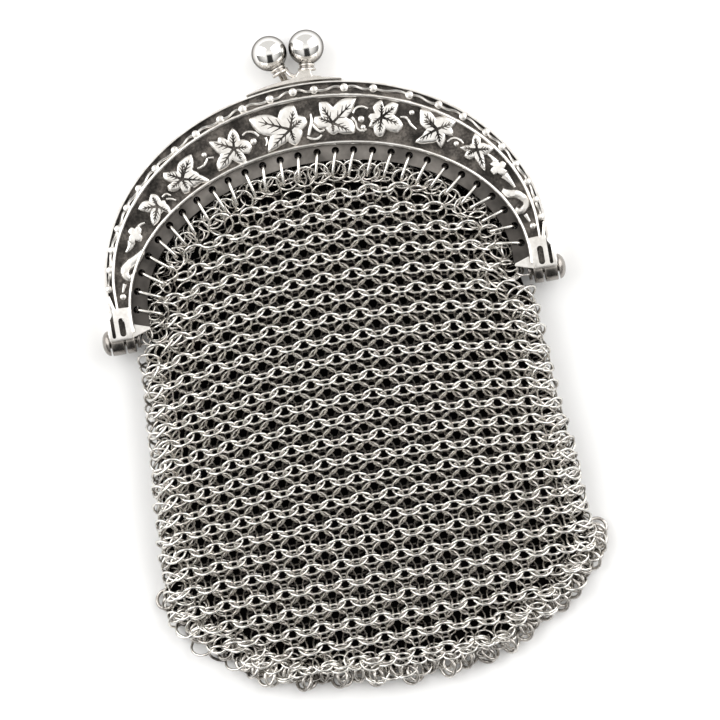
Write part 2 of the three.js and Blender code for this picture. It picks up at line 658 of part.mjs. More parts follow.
// A point of the bag's skin, brought in from the side by inset and from each face by its own wall.
function bagPoint(angle, down, walls, isFront) {
  const rise = Math.sin(angle);
  const top = -MOUTH_FOOT + (mouthRise - walls.mouth) * rise;
  const bottom = -BAG_CORNER - (BAG_DROP - walls.seam) * rise;
  const y = top + (bottom - top) * down;
  const { middle, half } = bagRow(down);
  const front = middle + half - walls.front;
  const back = middle - half + walls.back;
  const centre = (front + back) / 2;
  const depth = (front - back) / 2 * rise ** ROUNDNESS * (isFront ? 1 : -1);
  return new THREE.Vector3((bagHalfWidth(y) - walls.side) * Math.cos(angle), y, centre + depth);
}

// Rings round the bag, each over the front from right to left and then over the back
function bagRings(walls, downs) {
  return downs.map((down) => {
    const ring = [];
    for (let column = 0; column < BAG_COLUMNS; column += 1) {
      ring.push(bagPoint(Math.PI * column / BAG_COLUMNS, down, walls, true));
    }
    for (let column = 0; column < BAG_COLUMNS; column += 1) {
      ring.push(bagPoint(Math.PI * (1 - column / BAG_COLUMNS), down, walls, false));
    }
    return ring;
  });
}

// Faces that close a ring of the bag between its front and its back
function seamFaces(first, size) {
  const half = size / 2;
  const faces = [[first, first + size - 1, first + 1]];
  for (let place = 1; place < half - 1; place += 1) {
    const [a, b] = [first + place, first + place + 1];
    const [c, d] = [first + size - place, first + size - place - 1];
    faces.push([a, c, d], [a, d, b]);
  }
  faces.push([first + half - 1, first + half + 1, first + half]);
  return faces;
}

// The skin over rings round the bag, closed at its first and its last ring
function closedSkin(rings) {
  const grid = loft(rings);
  for (const face of seamFaces(0, grid.size)) grid.faces.push(...face);
  for (const [a, b, c] of seamFaces((rings.length - 1) * grid.size, grid.size)) grid.faces.push(a, c, b);
  return orient(geometryFrom(grid));
}

function meshBag() {
  const outer = { front: 0, back: 0, side: 0, mouth: 0, seam: 0 };
  const inner = { front: FRONT_WALL, back: BACK_WALL, side: FRONT_WALL, mouth: 0, seam: FRONT_WALL };
  const rings = bagRings(outer, downSteps(1)).reverse();
  return closedSkin([...rings, ...bagRings(inner, downSteps(HOLLOW_END))]);
}

// The lining's two plies lie together as one thin slab, midway between the bag's walls.
function lining() {
  const rings = downSteps(LINING_END).map((down) => {
    const { half } = bagRow(down);
    const room = 2 * half - FRONT_WALL - BACK_WALL;
    const spare = (room - LINING_WALL) / 2;
    const walls = {
      front: FRONT_WALL + spare,
      back: BACK_WALL + spare,
      side: FRONT_WALL + LINING_INSET,
      mouth: LINING_INSET,
      seam: FRONT_WALL + GAP,
    };
    return bagRings(walls, [down])[0];
  });
  return closedSkin(rings);
}

// A loop stands edge-on to the flange: a long round-ended ring through its hole.
function loopBody({ place, inward }) {
  const middle = LOOP_LENGTH / 2 - LOOP_PAST_HOLE;
  const reach = LOOP_LENGTH / 2 - LOOP_WIRE;
  const rise = LOOP_HEIGHT / 2 - LOOP_WIRE;
  const rings = Array.from({ length: LOOP_SIDES + 1 }, (unused, step) => {
    const angle = 2 * Math.PI * (step + 0.5) / LOOP_SIDES;
    const [flat, up] = [Math.cos(angle), Math.sin(angle)];
    const square = Math.sign(flat) * Math.abs(flat) ** LOOP_SQUARENESS;
    return Array.from({ length: WIRE_SIDES }, (none, corner) => {
      const turn = 2 * Math.PI * corner / WIRE_SIDES;
      const out = LOOP_WIRE * Math.cos(turn);
      const across = LOOP_WIRE * Math.sin(turn);
      const along = middle + square * reach + flat * out;
      return new THREE.Vector3(
        place.x + inward.x * along - inward.y * across,
        place.y + inward.y * along + inward.x * across,
        FLANGE_MIDDLE + up * (rise + out),
      );
    });
  });
  return solid(orient(geometryFrom(loft(rings))));
}

// The wire that joins the loops along the bag's mouth
function selvage(radius, sides, inset, steps) {
  const route = new THREE.CatmullRomCurve3(holePlaces.map(({ place, inward }) => {
    const at = place.clone().addScaledVector(inward, inset);
    return new THREE.Vector3(at.x, at.y, FLANGE_MIDDLE);
  }));
  const round = new THREE.Shape().absarc(0, 0, radius, 0, 2 * Math.PI);
  const sections = { steps, curveSegments: sides / 2, bevelEnabled: false, extrudePath: route };
  return solid(new THREE.ExtrudeGeometry(round, sections));
}

function frontLoops() {
  return geometryOf(unite([selvage(LOOP_WIRE, 4, wireInset, HOLE_COUNT - 1), ...holePlaces.map(loopBody)]));
}

// The back loops are hidden from above: their row is one plain roll beside the flange.

function backLoops() {
  const inset = wireInset + LOOP_WIRE - ROLL_RADIUS;
  return geometryOf(selvage(ROLL_RADIUS, 8, inset, ARCH_STEPS)).applyMatrix4(toBack);
}

// A place by its angle along the seam's curve and its distance outside it
function seamPlace(angle, out) {
  const rise = Math.sin(angle);
  const outward = new THREE.Vector2(Math.cos(angle) * 2 / BAG_WIDTH, -rise / BAG_DROP).normalize();
  const place = new THREE.Vector2(BAG_WIDTH / 2 * Math.cos(angle), -BAG_CORNER - BAG_DROP * rise);
  return place.addScaledVector(outward, out);
}

// The fringe is a strip along the seam with a lobe for each ring. Only the larger ones are pierced.
function fringe() {
  const head = Array.from({ length: ARCH_STEPS + 1 }, (unused, step) => (
    seamPlace(Math.PI * step / ARCH_STEPS, GAP + FRINGE_HEAD / 2)
  ));
  let body = solid(prism(ribbonOutline(head, FRINGE_HEAD), 0, FRINGE_THICKNESS));
  const holes = [];
  evenAngles((angle) => seamPlace(angle, 0), FRINGE_RINGS).forEach((angle, ring) => {
    const isLarge = ring % 2 === 0;
    const radius = FRINGE_RING_RADIUS * (isLarge ? 1 : SMALL_RING);
    const drop = radius * (isLarge ? LARGE_RING_DROP : SMALL_RING_DROP);
    const { x, y } = seamPlace(angle, GAP + FRINGE_HEAD + drop);
    body = body.add(solid(post(x, y, radius, 0, FRINGE_THICKNESS, LOBE_SIDES)));
    if (isLarge) holes.push(post(x, y, FRINGE_HOLE_RADIUS, -1, FRINGE_THICKNESS + 1, HOLE_SIDES));
  });
  return geometryOf(holes.reduce((whole, hole) => whole.subtract(solid(hole)), body));
}

const silver = { color: 0xcfcac2, roughness: 0.3, metalness: 1 };
const polished = { color: 0xe4e2de, roughness: 0.05, metalness: 1 };
const oxidised = { color: 0xa39d93, roughness: 0.45, metalness: 1 };
const darkCloth = { color: 0x0c0b0a, roughness: 0.9, metalness: 0 };

const group = new THREE.Group();

function addPiece(name, geometry, finish) {
  const mesh = new THREE.Mesh(geometry, new THREE.MeshStandardMaterial(finish));
  mesh.name = name;
  group.add(mesh);
  return mesh;
}

addPiece('front_frame', frontFrame(), silver);
addPiece('back_frame', backFrame(), silver);
addPiece('left_hinge_pin', hingePin(-1), silver);
addPiece('right_hinge_pin', hingePin(1), silver);
addPiece('front_clasp', clasp(1), polished);
addPiece('back_clasp', clasp(-1), polished);
addPiece('mesh_bag', meshBag(), silver);
addPiece('lining', lining(), darkCloth);
addPiece('front_jump_rings', frontLoops(), silver);
addPiece('back_jump_rings', backLoops(), silver);
addPiece('bottom_fringe', fringe(), oxidised);

// The origin is the middle of the bottom of the whole purse.
const box = new THREE.Box3().setFromObject(group);
const centre = box.getCenter(new THREE.Vector3());
group.position.set(-centre.x, -centre.y, -box.min.z);

export default group;
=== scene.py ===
"""A small kiss-lock purse of silver-coloured metal mesh, lying flat.

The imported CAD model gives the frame. Sizes are in millimetres about the middle of the hinge axis:
x to the right, y up the purse, and z up from the surface that it lies on.
"""

import math
import random

import bpy
import numpy as np
from mathutils import Matrix, Vector


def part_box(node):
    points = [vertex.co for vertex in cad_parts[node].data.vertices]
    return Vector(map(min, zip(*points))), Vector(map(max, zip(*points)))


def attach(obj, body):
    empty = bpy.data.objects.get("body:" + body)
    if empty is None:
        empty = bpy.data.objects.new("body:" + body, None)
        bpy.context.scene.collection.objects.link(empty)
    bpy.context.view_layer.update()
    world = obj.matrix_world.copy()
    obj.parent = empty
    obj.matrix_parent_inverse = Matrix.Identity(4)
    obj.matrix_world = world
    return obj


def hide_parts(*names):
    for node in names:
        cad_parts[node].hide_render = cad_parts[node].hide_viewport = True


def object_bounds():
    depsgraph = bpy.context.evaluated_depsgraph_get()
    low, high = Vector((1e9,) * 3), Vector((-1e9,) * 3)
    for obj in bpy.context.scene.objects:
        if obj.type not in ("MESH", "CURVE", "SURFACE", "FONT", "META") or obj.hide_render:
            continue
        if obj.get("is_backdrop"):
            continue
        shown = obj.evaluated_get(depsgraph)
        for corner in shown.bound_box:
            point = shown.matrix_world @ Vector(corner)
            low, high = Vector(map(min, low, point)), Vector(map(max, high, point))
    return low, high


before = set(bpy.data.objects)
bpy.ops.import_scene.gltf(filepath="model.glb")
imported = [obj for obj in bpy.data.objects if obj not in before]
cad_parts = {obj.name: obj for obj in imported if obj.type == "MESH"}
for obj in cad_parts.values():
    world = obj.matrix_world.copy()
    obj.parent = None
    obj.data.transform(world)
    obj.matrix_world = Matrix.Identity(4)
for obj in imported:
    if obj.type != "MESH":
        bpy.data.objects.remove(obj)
cad_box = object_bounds()

MM = 0.001
left_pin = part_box("left_hinge_pin")
right_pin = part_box("right_hinge_pin")
ORIGIN_X = (left_pin[0][0] + right_pin[1][0]) / 2
ORIGIN_Y = (left_pin[0][1] + left_pin[1][1]) / 2
HINGE_Z = (left_pin[0][2] + left_pin[1][2]) / 2 / MM
FRAME_DEPTH = 2 * HINGE_Z

# The frame's arch
HALF_WIDTH = 34.4
FRAME_TOP = 34.6
OUTER_SPRING = 7.0
INNER_SPRING = 3.0
RIM = 0.4
BEVEL = 0.75
RELIEF = 0.55
METAL = 0.9
RIB = 0.65
FLANGE_DROP = 1.55
FLANGE_THICKNESS = 0.8
FOOT_ANGLE = 0.087
PARTING = HINGE_Z + 0.075
FACE = FRAME_DEPTH - RELIEF
FLANGE_TOP = FRAME_DEPTH - FLANGE_DROP
FLANGE_BOTTOM = FLANGE_TOP - FLANGE_THICKNESS
ARCH_STEPS = 120

# Holes and loops
HOLE_COUNT = 28
INNER_TOP = 24.0
HOLE_RADIUS = 0.58
LOOP_LENGTH = 4.5
LOOP_HEIGHT = 2.3
LOOP_WIRE = 0.24
LOOP_PAST_HOLE = 0.3

# Hinges
BLOCK_HALF = HALF_WIDTH + 0.6
BLOCK_INNER = 31.45
BLOCK_LIP = 0.15
KNUCKLE_RADIUS = 2.05
PIN_HEAD_RADIUS = 1.95
PIN_HEAD_HEIGHT = 1.1

# Clasp
BALL_RADIUS = 2.75
BALL_HEIGHT = 40.1
BALL_MIDDLE = -0.4

# Bag
BAG_DEPTH = 7.8
BAG_CORNER = 41.0
BAG_DROP = 16.3
BAG_HALF = 33.0
SHOULDER_HALF = 30.2
MOUTH_FOOT = 1.0
MOUTH_HALF = 26.6
MOUTH_RISE = 20.4
ROUNDNESS = 0.45

# Weave of the mesh
RING_RADIUS = 1.92
RING_WIRE = 0.22
COLUMN_PITCH = 2.33
ROW_PITCH = 3.12
RING_TILT = math.radians(44)


def at(x, y, z):
    """A place in metres in the row frame."""
    return Vector((ORIGIN_X + x * MM, ORIGIN_Y + y * MM, z * MM))


# Shader maths


class Value:
    """A node's output. Expressions on values add Math nodes."""

    def __init__(self, finish, socket):
        self.finish = finish
        self.socket = socket

    def math(self, operation, first, second):
        return self.finish.node("ShaderNodeMath", {"operation": operation}, {0: first, 1: second})

    def __add__(self, other):
        return self.math("ADD", self, other)

    def __radd__(self, other):
        return self.math("ADD", other, self)

    def __sub__(self, other):
        return self.math("SUBTRACT", self, other)

    def __mul__(self, other):
        return self.math("MULTIPLY", self, other)

    def power(self, exponent):
        return self.math("POWER", self, exponent)


class Tree:
    """A node tree. Its node method adds a node: the settings come first, then values or links."""

    def __init__(self, tree):
        self.tree = tree

    def node(self, kind, settings=None, sockets=None, output=0):
        made = self.tree.nodes.new(kind)
        for name, value in (settings or {}).items():
            if name == "stops":
                self.set_stops(made.color_ramp, value)
            else:
                setattr(made, name, value)
        for name, value in (sockets or {}).items():
            self.feed(made.inputs[name], value)
        return Value(self, made.outputs[output])

    def set_stops(self, ramp, stops):
        while len(ramp.elements) < len(stops):
            ramp.elements.new(0.5)
        for element, (place, shade) in zip(ramp.elements, stops):
            element.position = place
            element.color = shade

    def feed(self, socket, value):
        if isinstance(value, Value):
            self.tree.links.new(value.socket, socket)
        else:
            socket.default_value = value

    def ramp(self, value, stops):
        return self.node("ShaderNodeValToRGB", {"stops": stops}, {"Fac": value})

    def mix(self, share, first, second, kind="MIX"):
        settings = {"data_type": "RGBA", "blend_type": kind}
        return self.node("ShaderNodeMix", settings, {0: share, 6: first, 7: second}, output=2)

    def along(self, place, axis):
        return self.node("ShaderNodeSeparateXYZ", None, {0: place}, output=axis)


class Finish(Tree):
    """A material, with its uniform values by socket name."""

    def __init__(self, name, **uniform):
        self.material = bpy.data.materials.new(name)
        self.material.use_nodes = True
        super().__init__(self.material.node_tree)
        self.shader = self.tree.nodes["Principled BSDF"]
        for socket, value in uniform.items():
            self.shader.inputs[socket.replace("_", " ")].default_value = value

    def surface(self, **links):
        for socket, value in links.items():
            self.feed(self.shader.inputs[socket.replace("_", " ")], value)

    def place(self):
        return self.node("ShaderNodeTexCoord", output="Object")

    def noise(self, scale, detail=3.0, rough=0.5):
        """Cloudy noise; scale is in clouds a metre."""
        sockets = {"Vector": self.place(), "Scale": scale, "Detail": detail, "Roughness": rough}
        return self.node("ShaderNodeTexNoise", None, sockets)

    def bump(self, height, strength, distance):
        sockets = {"Height": height, "Strength": strength, "Distance": distance}
        return self.node("ShaderNodeBump", None, sockets)


def tone(red, green, blue):
    return (red, green, blue, 1.0)


def bright_silver(name, base, shadow, rough, grain):
    """Plated metal with cloudy tarnish, fine pits and uneven gloss."""
    finish = Finish(name, Metallic=1.0)
    clouds = finish.noise(180.0)
    specks = finish.noise(1400.0, 2.0)
    tarnish = finish.ramp(clouds * 0.6 + specks * 0.4, [(0.36, tone(0, 0, 0)), (0.6, tone(1, 1, 1))])
    finish.surface(
        Base_Color=finish.mix(tarnish, shadow, base),
        Roughness=rough + clouds * 0.1 - 0.05 + specks * 0.06,
        Normal=finish.bump(finish.noise(grain, 2.0), 0.25, 0.05 * MM),
    )
    return finish.material


def ring_metal(name, base, shadow, depths):
    """Ring metal with painted shade: bright where a ring stands up and darkened where it dips into the weave,
    where shade falls; fine specks add random tone.
    """
    finish = Finish(name, Metallic=1.0)
    specks = finish.noise(1400.0, 2.0)
    rise = finish.node("ShaderNodeAttribute", {"attribute_name": "rise"}, output="Fac")
    dark, bright = depths
    # Painted shade: the lower a part of a ring lies below its middle, the darker its colour, with random
    # specks mixed in.
    painted_shade_and_specks = finish.ramp(
        rise * 0.25 + specks * 0.1 + 0.45,
        [(dark * 0.25 + 0.5, tone(0, 0, 0)), (bright * 0.25 + 0.5, tone(1, 1, 1))],
    )
    finish.surface(
        Base_Color=finish.mix(painted_shade_and_specks, shadow, base),
        Roughness=specks * 0.14 + 0.1,
        Normal=finish.bump(finish.noise(3600.0, 2.0), 0.2, 0.05 * MM),
    )
    return finish.material


def cast_ground(name):
    """The dark, pitted ground between the relief."""
    finish = Finish(name, Metallic=0.7)
    clouds = finish.noise(420.0, 4.0)
    pits = finish.noise(3200.0, 3.0)
    dark, middle, pale = tone(0.014, 0.012, 0.01), tone(0.06, 0.053, 0.047), tone(0.17, 0.152, 0.135)
    shades = [(0.38, dark), (0.5, middle), (0.62, pale)]
    finish.surface(
        Base_Color=finish.ramp(clouds * 0.65 + pits * 0.35, shades),
        Roughness=0.5 + pits * 0.25,
        Normal=finish.bump(pits, 0.5, 0.08 * MM),
    )
    return finish.material


def flange_metal():
    """Dull, smeared metal, with painted shade that darkens it towards the hinges."""
    finish = Finish("flange_metal", Metallic=0.85)
    clouds = finish.noise(260.0, 4.0)
    # Painted shade: the low tone near the hinges, the high tone higher up the arch.
    rise = (finish.along(finish.place(), 1) - ORIGIN_Y) * (1 / (INNER_TOP * MM))
    low = finish.ramp(clouds, [(0.35, tone(0.03, 0.027, 0.025)), (0.65, tone(0.085, 0.077, 0.07))])
    high = finish.ramp(clouds, [(0.35, tone(0.1, 0.092, 0.084)), (0.65, tone(0.26, 0.24, 0.22))])
    finish.surface(
        Base_Color=finish.mix(finish.ramp(rise, [(0.35, tone(0, 0, 0)), (0.8, tone(1, 1, 1))]), low, high),
        Roughness=clouds * 0.25 + 0.28,
        Normal=finish.bump(finish.noise(3000.0, 2.0), 0.3, 0.05 * MM),
    )
    return finish.material


def mirror_ball():
    """Polished plate with faint smears, and painted shade that darkens it from the top down to its equator
    and below, standing in for the dark reflections round its rim.
    """
    finish = Finish("polished_ball", Metallic=1.0, Specular_Tint=tone(0.3, 0.3, 0.3))
    smears = finish.noise(260.0, 4.0, 0.6)
    lift = (finish.along(finish.place(), 2) - HINGE_Z * MM) * (1 / (BALL_RADIUS * MM))
    # Painted shade: dark at and below the equator, bright on top.
    painted_rim_shade = [(0.0, tone(0.12, 0.11, 0.1)), (0.36, tone(0.34, 0.325, 0.31)), (0.66, tone(0.9, 0.89, 0.87))]
    finish.surface(
        Base_Color=finish.mix(smears * 0.2, finish.ramp(lift, painted_rim_shade), tone(0.6, 0.58, 0.55)),
        Roughness=0.1 + smears.power(3.0) * 0.12,
    )
    return finish.material


def gap_shade_cloth():
    """Near-black plain-woven cloth: painted shade, a dark sheet that stands in for the dark seen through the
    mesh's gaps.
    """
    finish = Finish("gap_shade_cloth", Roughness=1.0, Specular_IOR_Level=0.05)
    threads = []
    for axis in "XY":
        settings = {"wave_type": "BANDS", "bands_direction": axis}
        threads.append(finish.node("ShaderNodeTexWave", settings, {"Vector": finish.place(), "Scale": 900.0}))
    weave = threads[0] * threads[1]
    finish.surface(
        Base_Color=finish.mix(weave, tone(0.0012, 0.001, 0.001), tone(0.004, 0.0035, 0.003)),
        Normal=finish.bump(weave, 0.5, 0.1 * MM),
    )
    return finish.material


SILVER = bright_silver("relief_silver", tone(0.93, 0.91, 0.88), tone(0.7, 0.67, 0.63), 0.3, 2600.0)
GROUND = cast_ground("cast_ground")
FLANGE_METAL = flange_metal()
HINGE_METAL = bright_silver("hinge_metal", tone(0.36, 0.335, 0.31), tone(0.2, 0.185, 0.17), 0.22, 2600.0)
# The ring metals' second tone is painted shade where the rings dip into the weave, much darker for the inner
# layer.
RING_SILVER = ring_metal("ring_silver", tone(0.8, 0.78, 0.74), tone(0.64, 0.61, 0.57), (-1.4, 0.0))
LOOP_SILVER = bright_silver("loop_silver", tone(0.93, 0.91, 0.87), tone(0.7, 0.67, 0.62), 0.17, 3600.0)
INNER_SILVER = ring_metal("inner_ring_silver", tone(0.74, 0.71, 0.67), tone(0.16, 0.148, 0.136), (-1.0, 0.7))
FRINGE_SILVER = bright_silver("fringe_silver", tone(0.76, 0.73, 0.69), tone(0.25, 0.23, 0.21), 0.18, 3600.0)
CLASP_SILVER = bright_silver("clasp_silver", tone(0.74, 0.71, 0.67), tone(0.58, 0.55, 0.51), 0.2, 2600.0)
POLISHED = mirror_ball()
VEIN_SHADE = cast_ground("vein_shade")


# Modelling helpers


def deselect():
    if bpy.context.object and bpy.context.object.mode != "OBJECT":
        bpy.ops.object.mode_set(mode="OBJECT")
    bpy.ops.object.select_all(action="DESELECT")


def take(*pieces):
    deselect()
    for piece in pieces:
        piece.select_set(True)
    bpy.context.view_layer.objects.active = pieces[0]


def added(name, *materials):
    """Names what an operator has just added and gives it its materials."""
    piece = bpy.context.object
    piece.name = name
    piece.data.name = name
    for material in materials:
        piece.data.materials.append(material)
    return piece


def settle(piece):
    """Puts a piece's place, turn and size into its mesh."""
    take(piece)
    bpy.ops.object.transform_apply(location=True, rotation=True, scale=True)
    return piece


def join(name, *pieces):
    take(*pieces)
    bpy.ops.object.join()
    pieces[0].name = name
    pieces[0].data.name = name
    return pieces[0]


def edit(piece, *steps):
    """Runs edit-mode operators on all of a piece's faces."""
    take(piece)
    bpy.ops.object.mode_set(mode="EDIT")
    bpy.ops.mesh.select_all(action="SELECT")
    for operator, settings in steps:
        operator(**settings)
    bpy.ops.object.mode_set(mode="OBJECT")
    return piece


def finish_with(piece, kind, **settings):
    take(piece)
    bpy.ops.object.modifier_add(type=kind)
    modifier = piece.modifiers[-1]
    for name, value in settings.items():
        setattr(modifier, name, value)
    bpy.ops.object.modifier_apply(modifier=modifier.name)
    return piece


def rounded(piece, edge):
    """Rounds a piece's edges to a width in mm."""
    settings = {"width": edge * MM, "segments": 3, "limit_method": "ANGLE", "angle_limit": math.radians(40)}
    return finish_with(piece, "BEVEL", **settings)


PICK_ALL = (bpy.ops.mesh.select_all, {"action": "SELECT"})
FACE_OUT = (bpy.ops.mesh.normals_make_consistent, {"inside": False})


def closed(piece, gap):
    """Welds corners nearer than a gap in mm, fills the open ends and turns the faces outwards."""
    weld = (bpy.ops.mesh.remove_doubles, {"threshold": gap * MM})
    return edit(piece, weld, (bpy.ops.mesh.fill_holes, {"sides": 0}), PICK_ALL, FACE_OUT)


def smooth(piece, degrees=35.0):
    take(piece)
    bpy.ops.object.shade_smooth_by_angle(angle=math.radians(degrees))
    return piece


def shape(piece, places):
    """Moves a mesh's vertices to these places, in metres."""
    piece.data.vertices.foreach_set("co", np.asarray(places, dtype=np.float32).ravel())
    piece.data.update()


def carve(piece, cutter):
    finish_with(piece, "BOOLEAN", operation="DIFFERENCE", object=cutter, solver="EXACT")
    bpy.data.objects.remove(cutter)
    return piece


def plate(name, outline, low, high, edge, material):
    """A flat plate over an outline, with rounded edges."""
    deselect()
    bpy.ops.mesh.primitive_circle_add(vertices=len(outline), fill_type="NGON")
    piece = added(name, material)
    shape(piece, [at(x, y, low) for x, y in outline])
    rise = {"TRANSFORM_OT_translate": {"value": (0.0, 0.0, (high - low) * MM)}}
    edit(piece, (bpy.ops.mesh.extrude_region_move, rise), PICK_ALL, FACE_OUT)
    return rounded(piece, edge) if edge else piece


def tube(name, route, radii, material, sides=8):
    """A round bar through places in metres, with a radius in mm at each."""
    deselect()
    bpy.ops.curve.primitive_bezier_curve_add()
    piece = added(name)
    curve = piece.data
    curve.dimensions = "3D"
    curve.splines.clear()
    spline = curve.splines.new("BEZIER")
    spline.bezier_points.add(len(route) - 1)
    for point, place, radius in zip(spline.bezier_points, route, radii):
        point.co = place
        point.radius = radius
        point.handle_left_type = "AUTO"
        point.handle_right_type = "AUTO"
    curve.bevel_depth = MM
    curve.bevel_resolution = max(sides // 4 - 1, 0)
    curve.resolution_u = 6
    curve.use_fill_caps = True
    take(piece)
    bpy.ops.object.convert(target="MESH")
    piece = bpy.context.object
    piece.data.materials.clear()
    piece.data.materials.append(material)
    return smooth(piece, 60.0)


def pattern_of(piece):
    """The vertices and faces of a piece that is copied many times; the piece itself is deleted."""
    mesh = piece.data
    places = np.empty(len(mesh.vertices) * 3, dtype=np.float32)
    mesh.vertices.foreach_get("co", places)
    faces = [tuple(face.vertices) for face in mesh.polygons]
    bpy.data.objects.remove(piece)
    return places.reshape(-1, 3), np.array(faces)


def strew(name, pattern, frames, material):
    """One mesh that holds a copy of the pattern in each frame, a 4 x 4 matrix in metres."""
    places, faces = pattern
    copies = len(frames)
    turned, rises = [], []
    for matrix in frames:
        grid = np.array(matrix)
        placed = places @ grid[:3, :3].T + grid[:3, 3]
        rises.append((placed[:, 2] - grid[2, 3]) / MM)
        placed[:, 2] += max(-placed[:, 2].min(), 0.0)
        turned.append(placed)
    every = np.concatenate(turned)
    shifts = np.repeat(np.arange(copies) * len(places), len(faces))[:, None]
    corners = np.tile(faces, (copies, 1)) + shifts
    mesh = bpy.data.meshes.new(name)
    mesh.from_pydata(every.tolist(), [], corners.tolist())
    mesh.materials.append(material)
    rise = mesh.attributes.new("rise", "FLOAT", "POINT")
    rise.data.foreach_set("value", np.concatenate(rises).astype(np.float32))
    piece = bpy.data.objects.new(name, mesh)
    bpy.context.collection.objects.link(piece)
    take(piece)
    bpy.ops.object.shade_smooth()
    return piece


def oriented(place, right, up, size=1.0):
    """A frame at a place, with its x along right and its z along up."""
    up = up.normalized()
    right = (right - up * right.dot(up)).normalized()
    ahead = up.cross(right)
    turn = Matrix((right, ahead, up)).transposed().to_4x4()
    return Matrix.Translation(place) @ turn @ Matrix.Scale(size, 4)


def ring_pattern(radius, wire, around, sides):
    deselect()
    bpy.ops.mesh.primitive_torus_add(
        major_segments=around, minor_segments=sides, major_radius=radius * MM, minor_radius=wire * MM
    )
    return pattern_of(bpy.context.object)


# The arch


def arch_line(side_inset, top_inset, spring):
    """Half an ellipse that runs on straight at both feet."""
    half = HALF_WIDTH - side_inset
    rise = FRAME_TOP - top_inset - spring

    def line(angle):
        below = max(-angle, angle - math.pi, 0.0)
        if below > 0:
            return Vector((math.copysign(half, math.cos(angle)), spring - rise * below))
        return Vector((half * math.cos(angle), spring + rise * math.sin(angle)))

    return line


def between(one, other, share):
    return lambda angle: one(angle).lerp(other(angle), share)


BAND_TOP = 2.1
BAND_SIDE = 1.09
LEAF_TOP = BAND_TOP + RIB
LEAF_SIDE = BAND_SIDE + RIB * 0.85
MOUTH_TOP = LEAF_TOP + 6.7
MOUTH_SIDE = LEAF_SIDE + 1.27
FLANGE_WIDTH = 2.3
outline = arch_line(0.0, 0.0, OUTER_SPRING)
rim_inner = arch_line(RIM, RIM, OUTER_SPRING)
rib_one_outer = arch_line(BAND_SIDE, BAND_TOP, OUTER_SPRING)
rib_one_inner = arch_line(LEAF_SIDE, LEAF_TOP, OUTER_SPRING)
rib_two_outer = arch_line(MOUTH_SIDE, MOUTH_TOP, INNER_SPRING)
rib_two_inner = arch_line(MOUTH_SIDE + RIB * 0.85, MOUTH_TOP + RIB, INNER_SPRING)
hole_line = arch_line(MOUTH_SIDE + RIB + 0.64, MOUTH_TOP + RIB + 0.85, INNER_SPRING)
flange_inner = arch_line(MOUTH_SIDE + RIB + FLANGE_WIDTH, MOUTH_TOP + RIB + FLANGE_WIDTH, INNER_SPRING)
cavity_inner = arch_line(MOUTH_SIDE - METAL / 2, MOUTH_TOP - METAL, INNER_SPRING)
cavity_outer = arch_line(METAL, METAL, OUTER_SPRING)


def rib(outer, inner, low, high, finish):
    """The rounded ridge between two lines, as section corners."""
    corners = []
    steps = 6
    for step in range(steps + 1):
        angle = math.pi * step / steps
        share = (1 - math.cos(angle)) / 2
        corners.append((between(outer, inner, share), low + (high - low) * math.sin(angle) ** 0.7, finish))
    return corners


SILVER_SLOT, GROUND_SLOT, FLANGE_SLOT = 0, 1, 2


def sweep(name, section, materials):
    """Carries a closed section of (line, height, finish) corners round the arch."""
    deselect()
    columns = len(section)
    bpy.ops.mesh.primitive_grid_add(x_subdivisions=columns, y_subdivisions=ARCH_STEPS, size=1.0)
    piece = added(name, *materials)
    corners = section + section[:1]
    places = []
    for step in range(ARCH_STEPS + 1):
        angle = -FOOT_ANGLE + (math.pi + 2 * FOOT_ANGLE) * step / ARCH_STEPS
        for line, height, finish in corners:
            place = line(angle)
            places.append(at(place.x, place.y, height))
    shape(piece, places)
    for index, face in enumerate(piece.data.polygons):
        face.material_index = corners[index % columns][2]
    return closed(piece, 0.001)


# The flange and the hollow behind, which both halves have
inner_section = [
    (rib_two_inner, FLANGE_TOP, FLANGE_SLOT),
    (flange_inner, FLANGE_TOP, FLANGE_SLOT),
    (flange_inner, FLANGE_BOTTOM, GROUND_SLOT),
    (cavity_inner, FLANGE_BOTTOM, GROUND_SLOT),
    (cavity_inner, FACE - METAL, GROUND_SLOT),
    (cavity_outer, FACE - METAL - BEVEL, GROUND_SLOT),
    (cavity_outer, PARTING, SILVER_SLOT),
]

carved_section = (
    [
        (outline, PARTING, SILVER_SLOT),
        (outline, FRAME_DEPTH - BEVEL - 0.2, SILVER_SLOT),
        (between(outline, rim_inner, 0.3), FRAME_DEPTH - BEVEL, SILVER_SLOT),
        (between(outline, rim_inner, 0.8), FRAME_DEPTH - BEVEL, SILVER_SLOT),
        (rim_inner, FACE - BEVEL, GROUND_SLOT),
    ]
    + rib(rib_one_outer, rib_one_inner, FACE, FRAME_DEPTH, SILVER_SLOT)[:-1]
    + [(rib_one_inner, FACE, GROUND_SLOT)]
    + rib(rib_two_outer, rib_two_inner, FACE, FRAME_DEPTH + 0.1, SILVER_SLOT)[:-1]
    + [(rib_two_inner, FACE - 0.2, GROUND_SLOT)]
    + inner_section
)

plain_section = [
    (outline, PARTING, SILVER_SLOT),
    (outline, FRAME_DEPTH - BEVEL, SILVER_SLOT),
    (between(outline, rib_one_outer, 0.35), FRAME_DEPTH - 0.2, SILVER_SLOT),
    (rib_one_outer, FRAME_DEPTH, SILVER_SLOT),
    (rib_two_outer, FRAME_DEPTH, SILVER_SLOT),
    (between(rib_two_outer, rib_two_inner, 0.7), FRAME_DEPTH - 0.15, SILVER_SLOT),
    (rib_two_inner, FRAME_DEPTH - 0.5, SILVER_SLOT),
] + inner_section


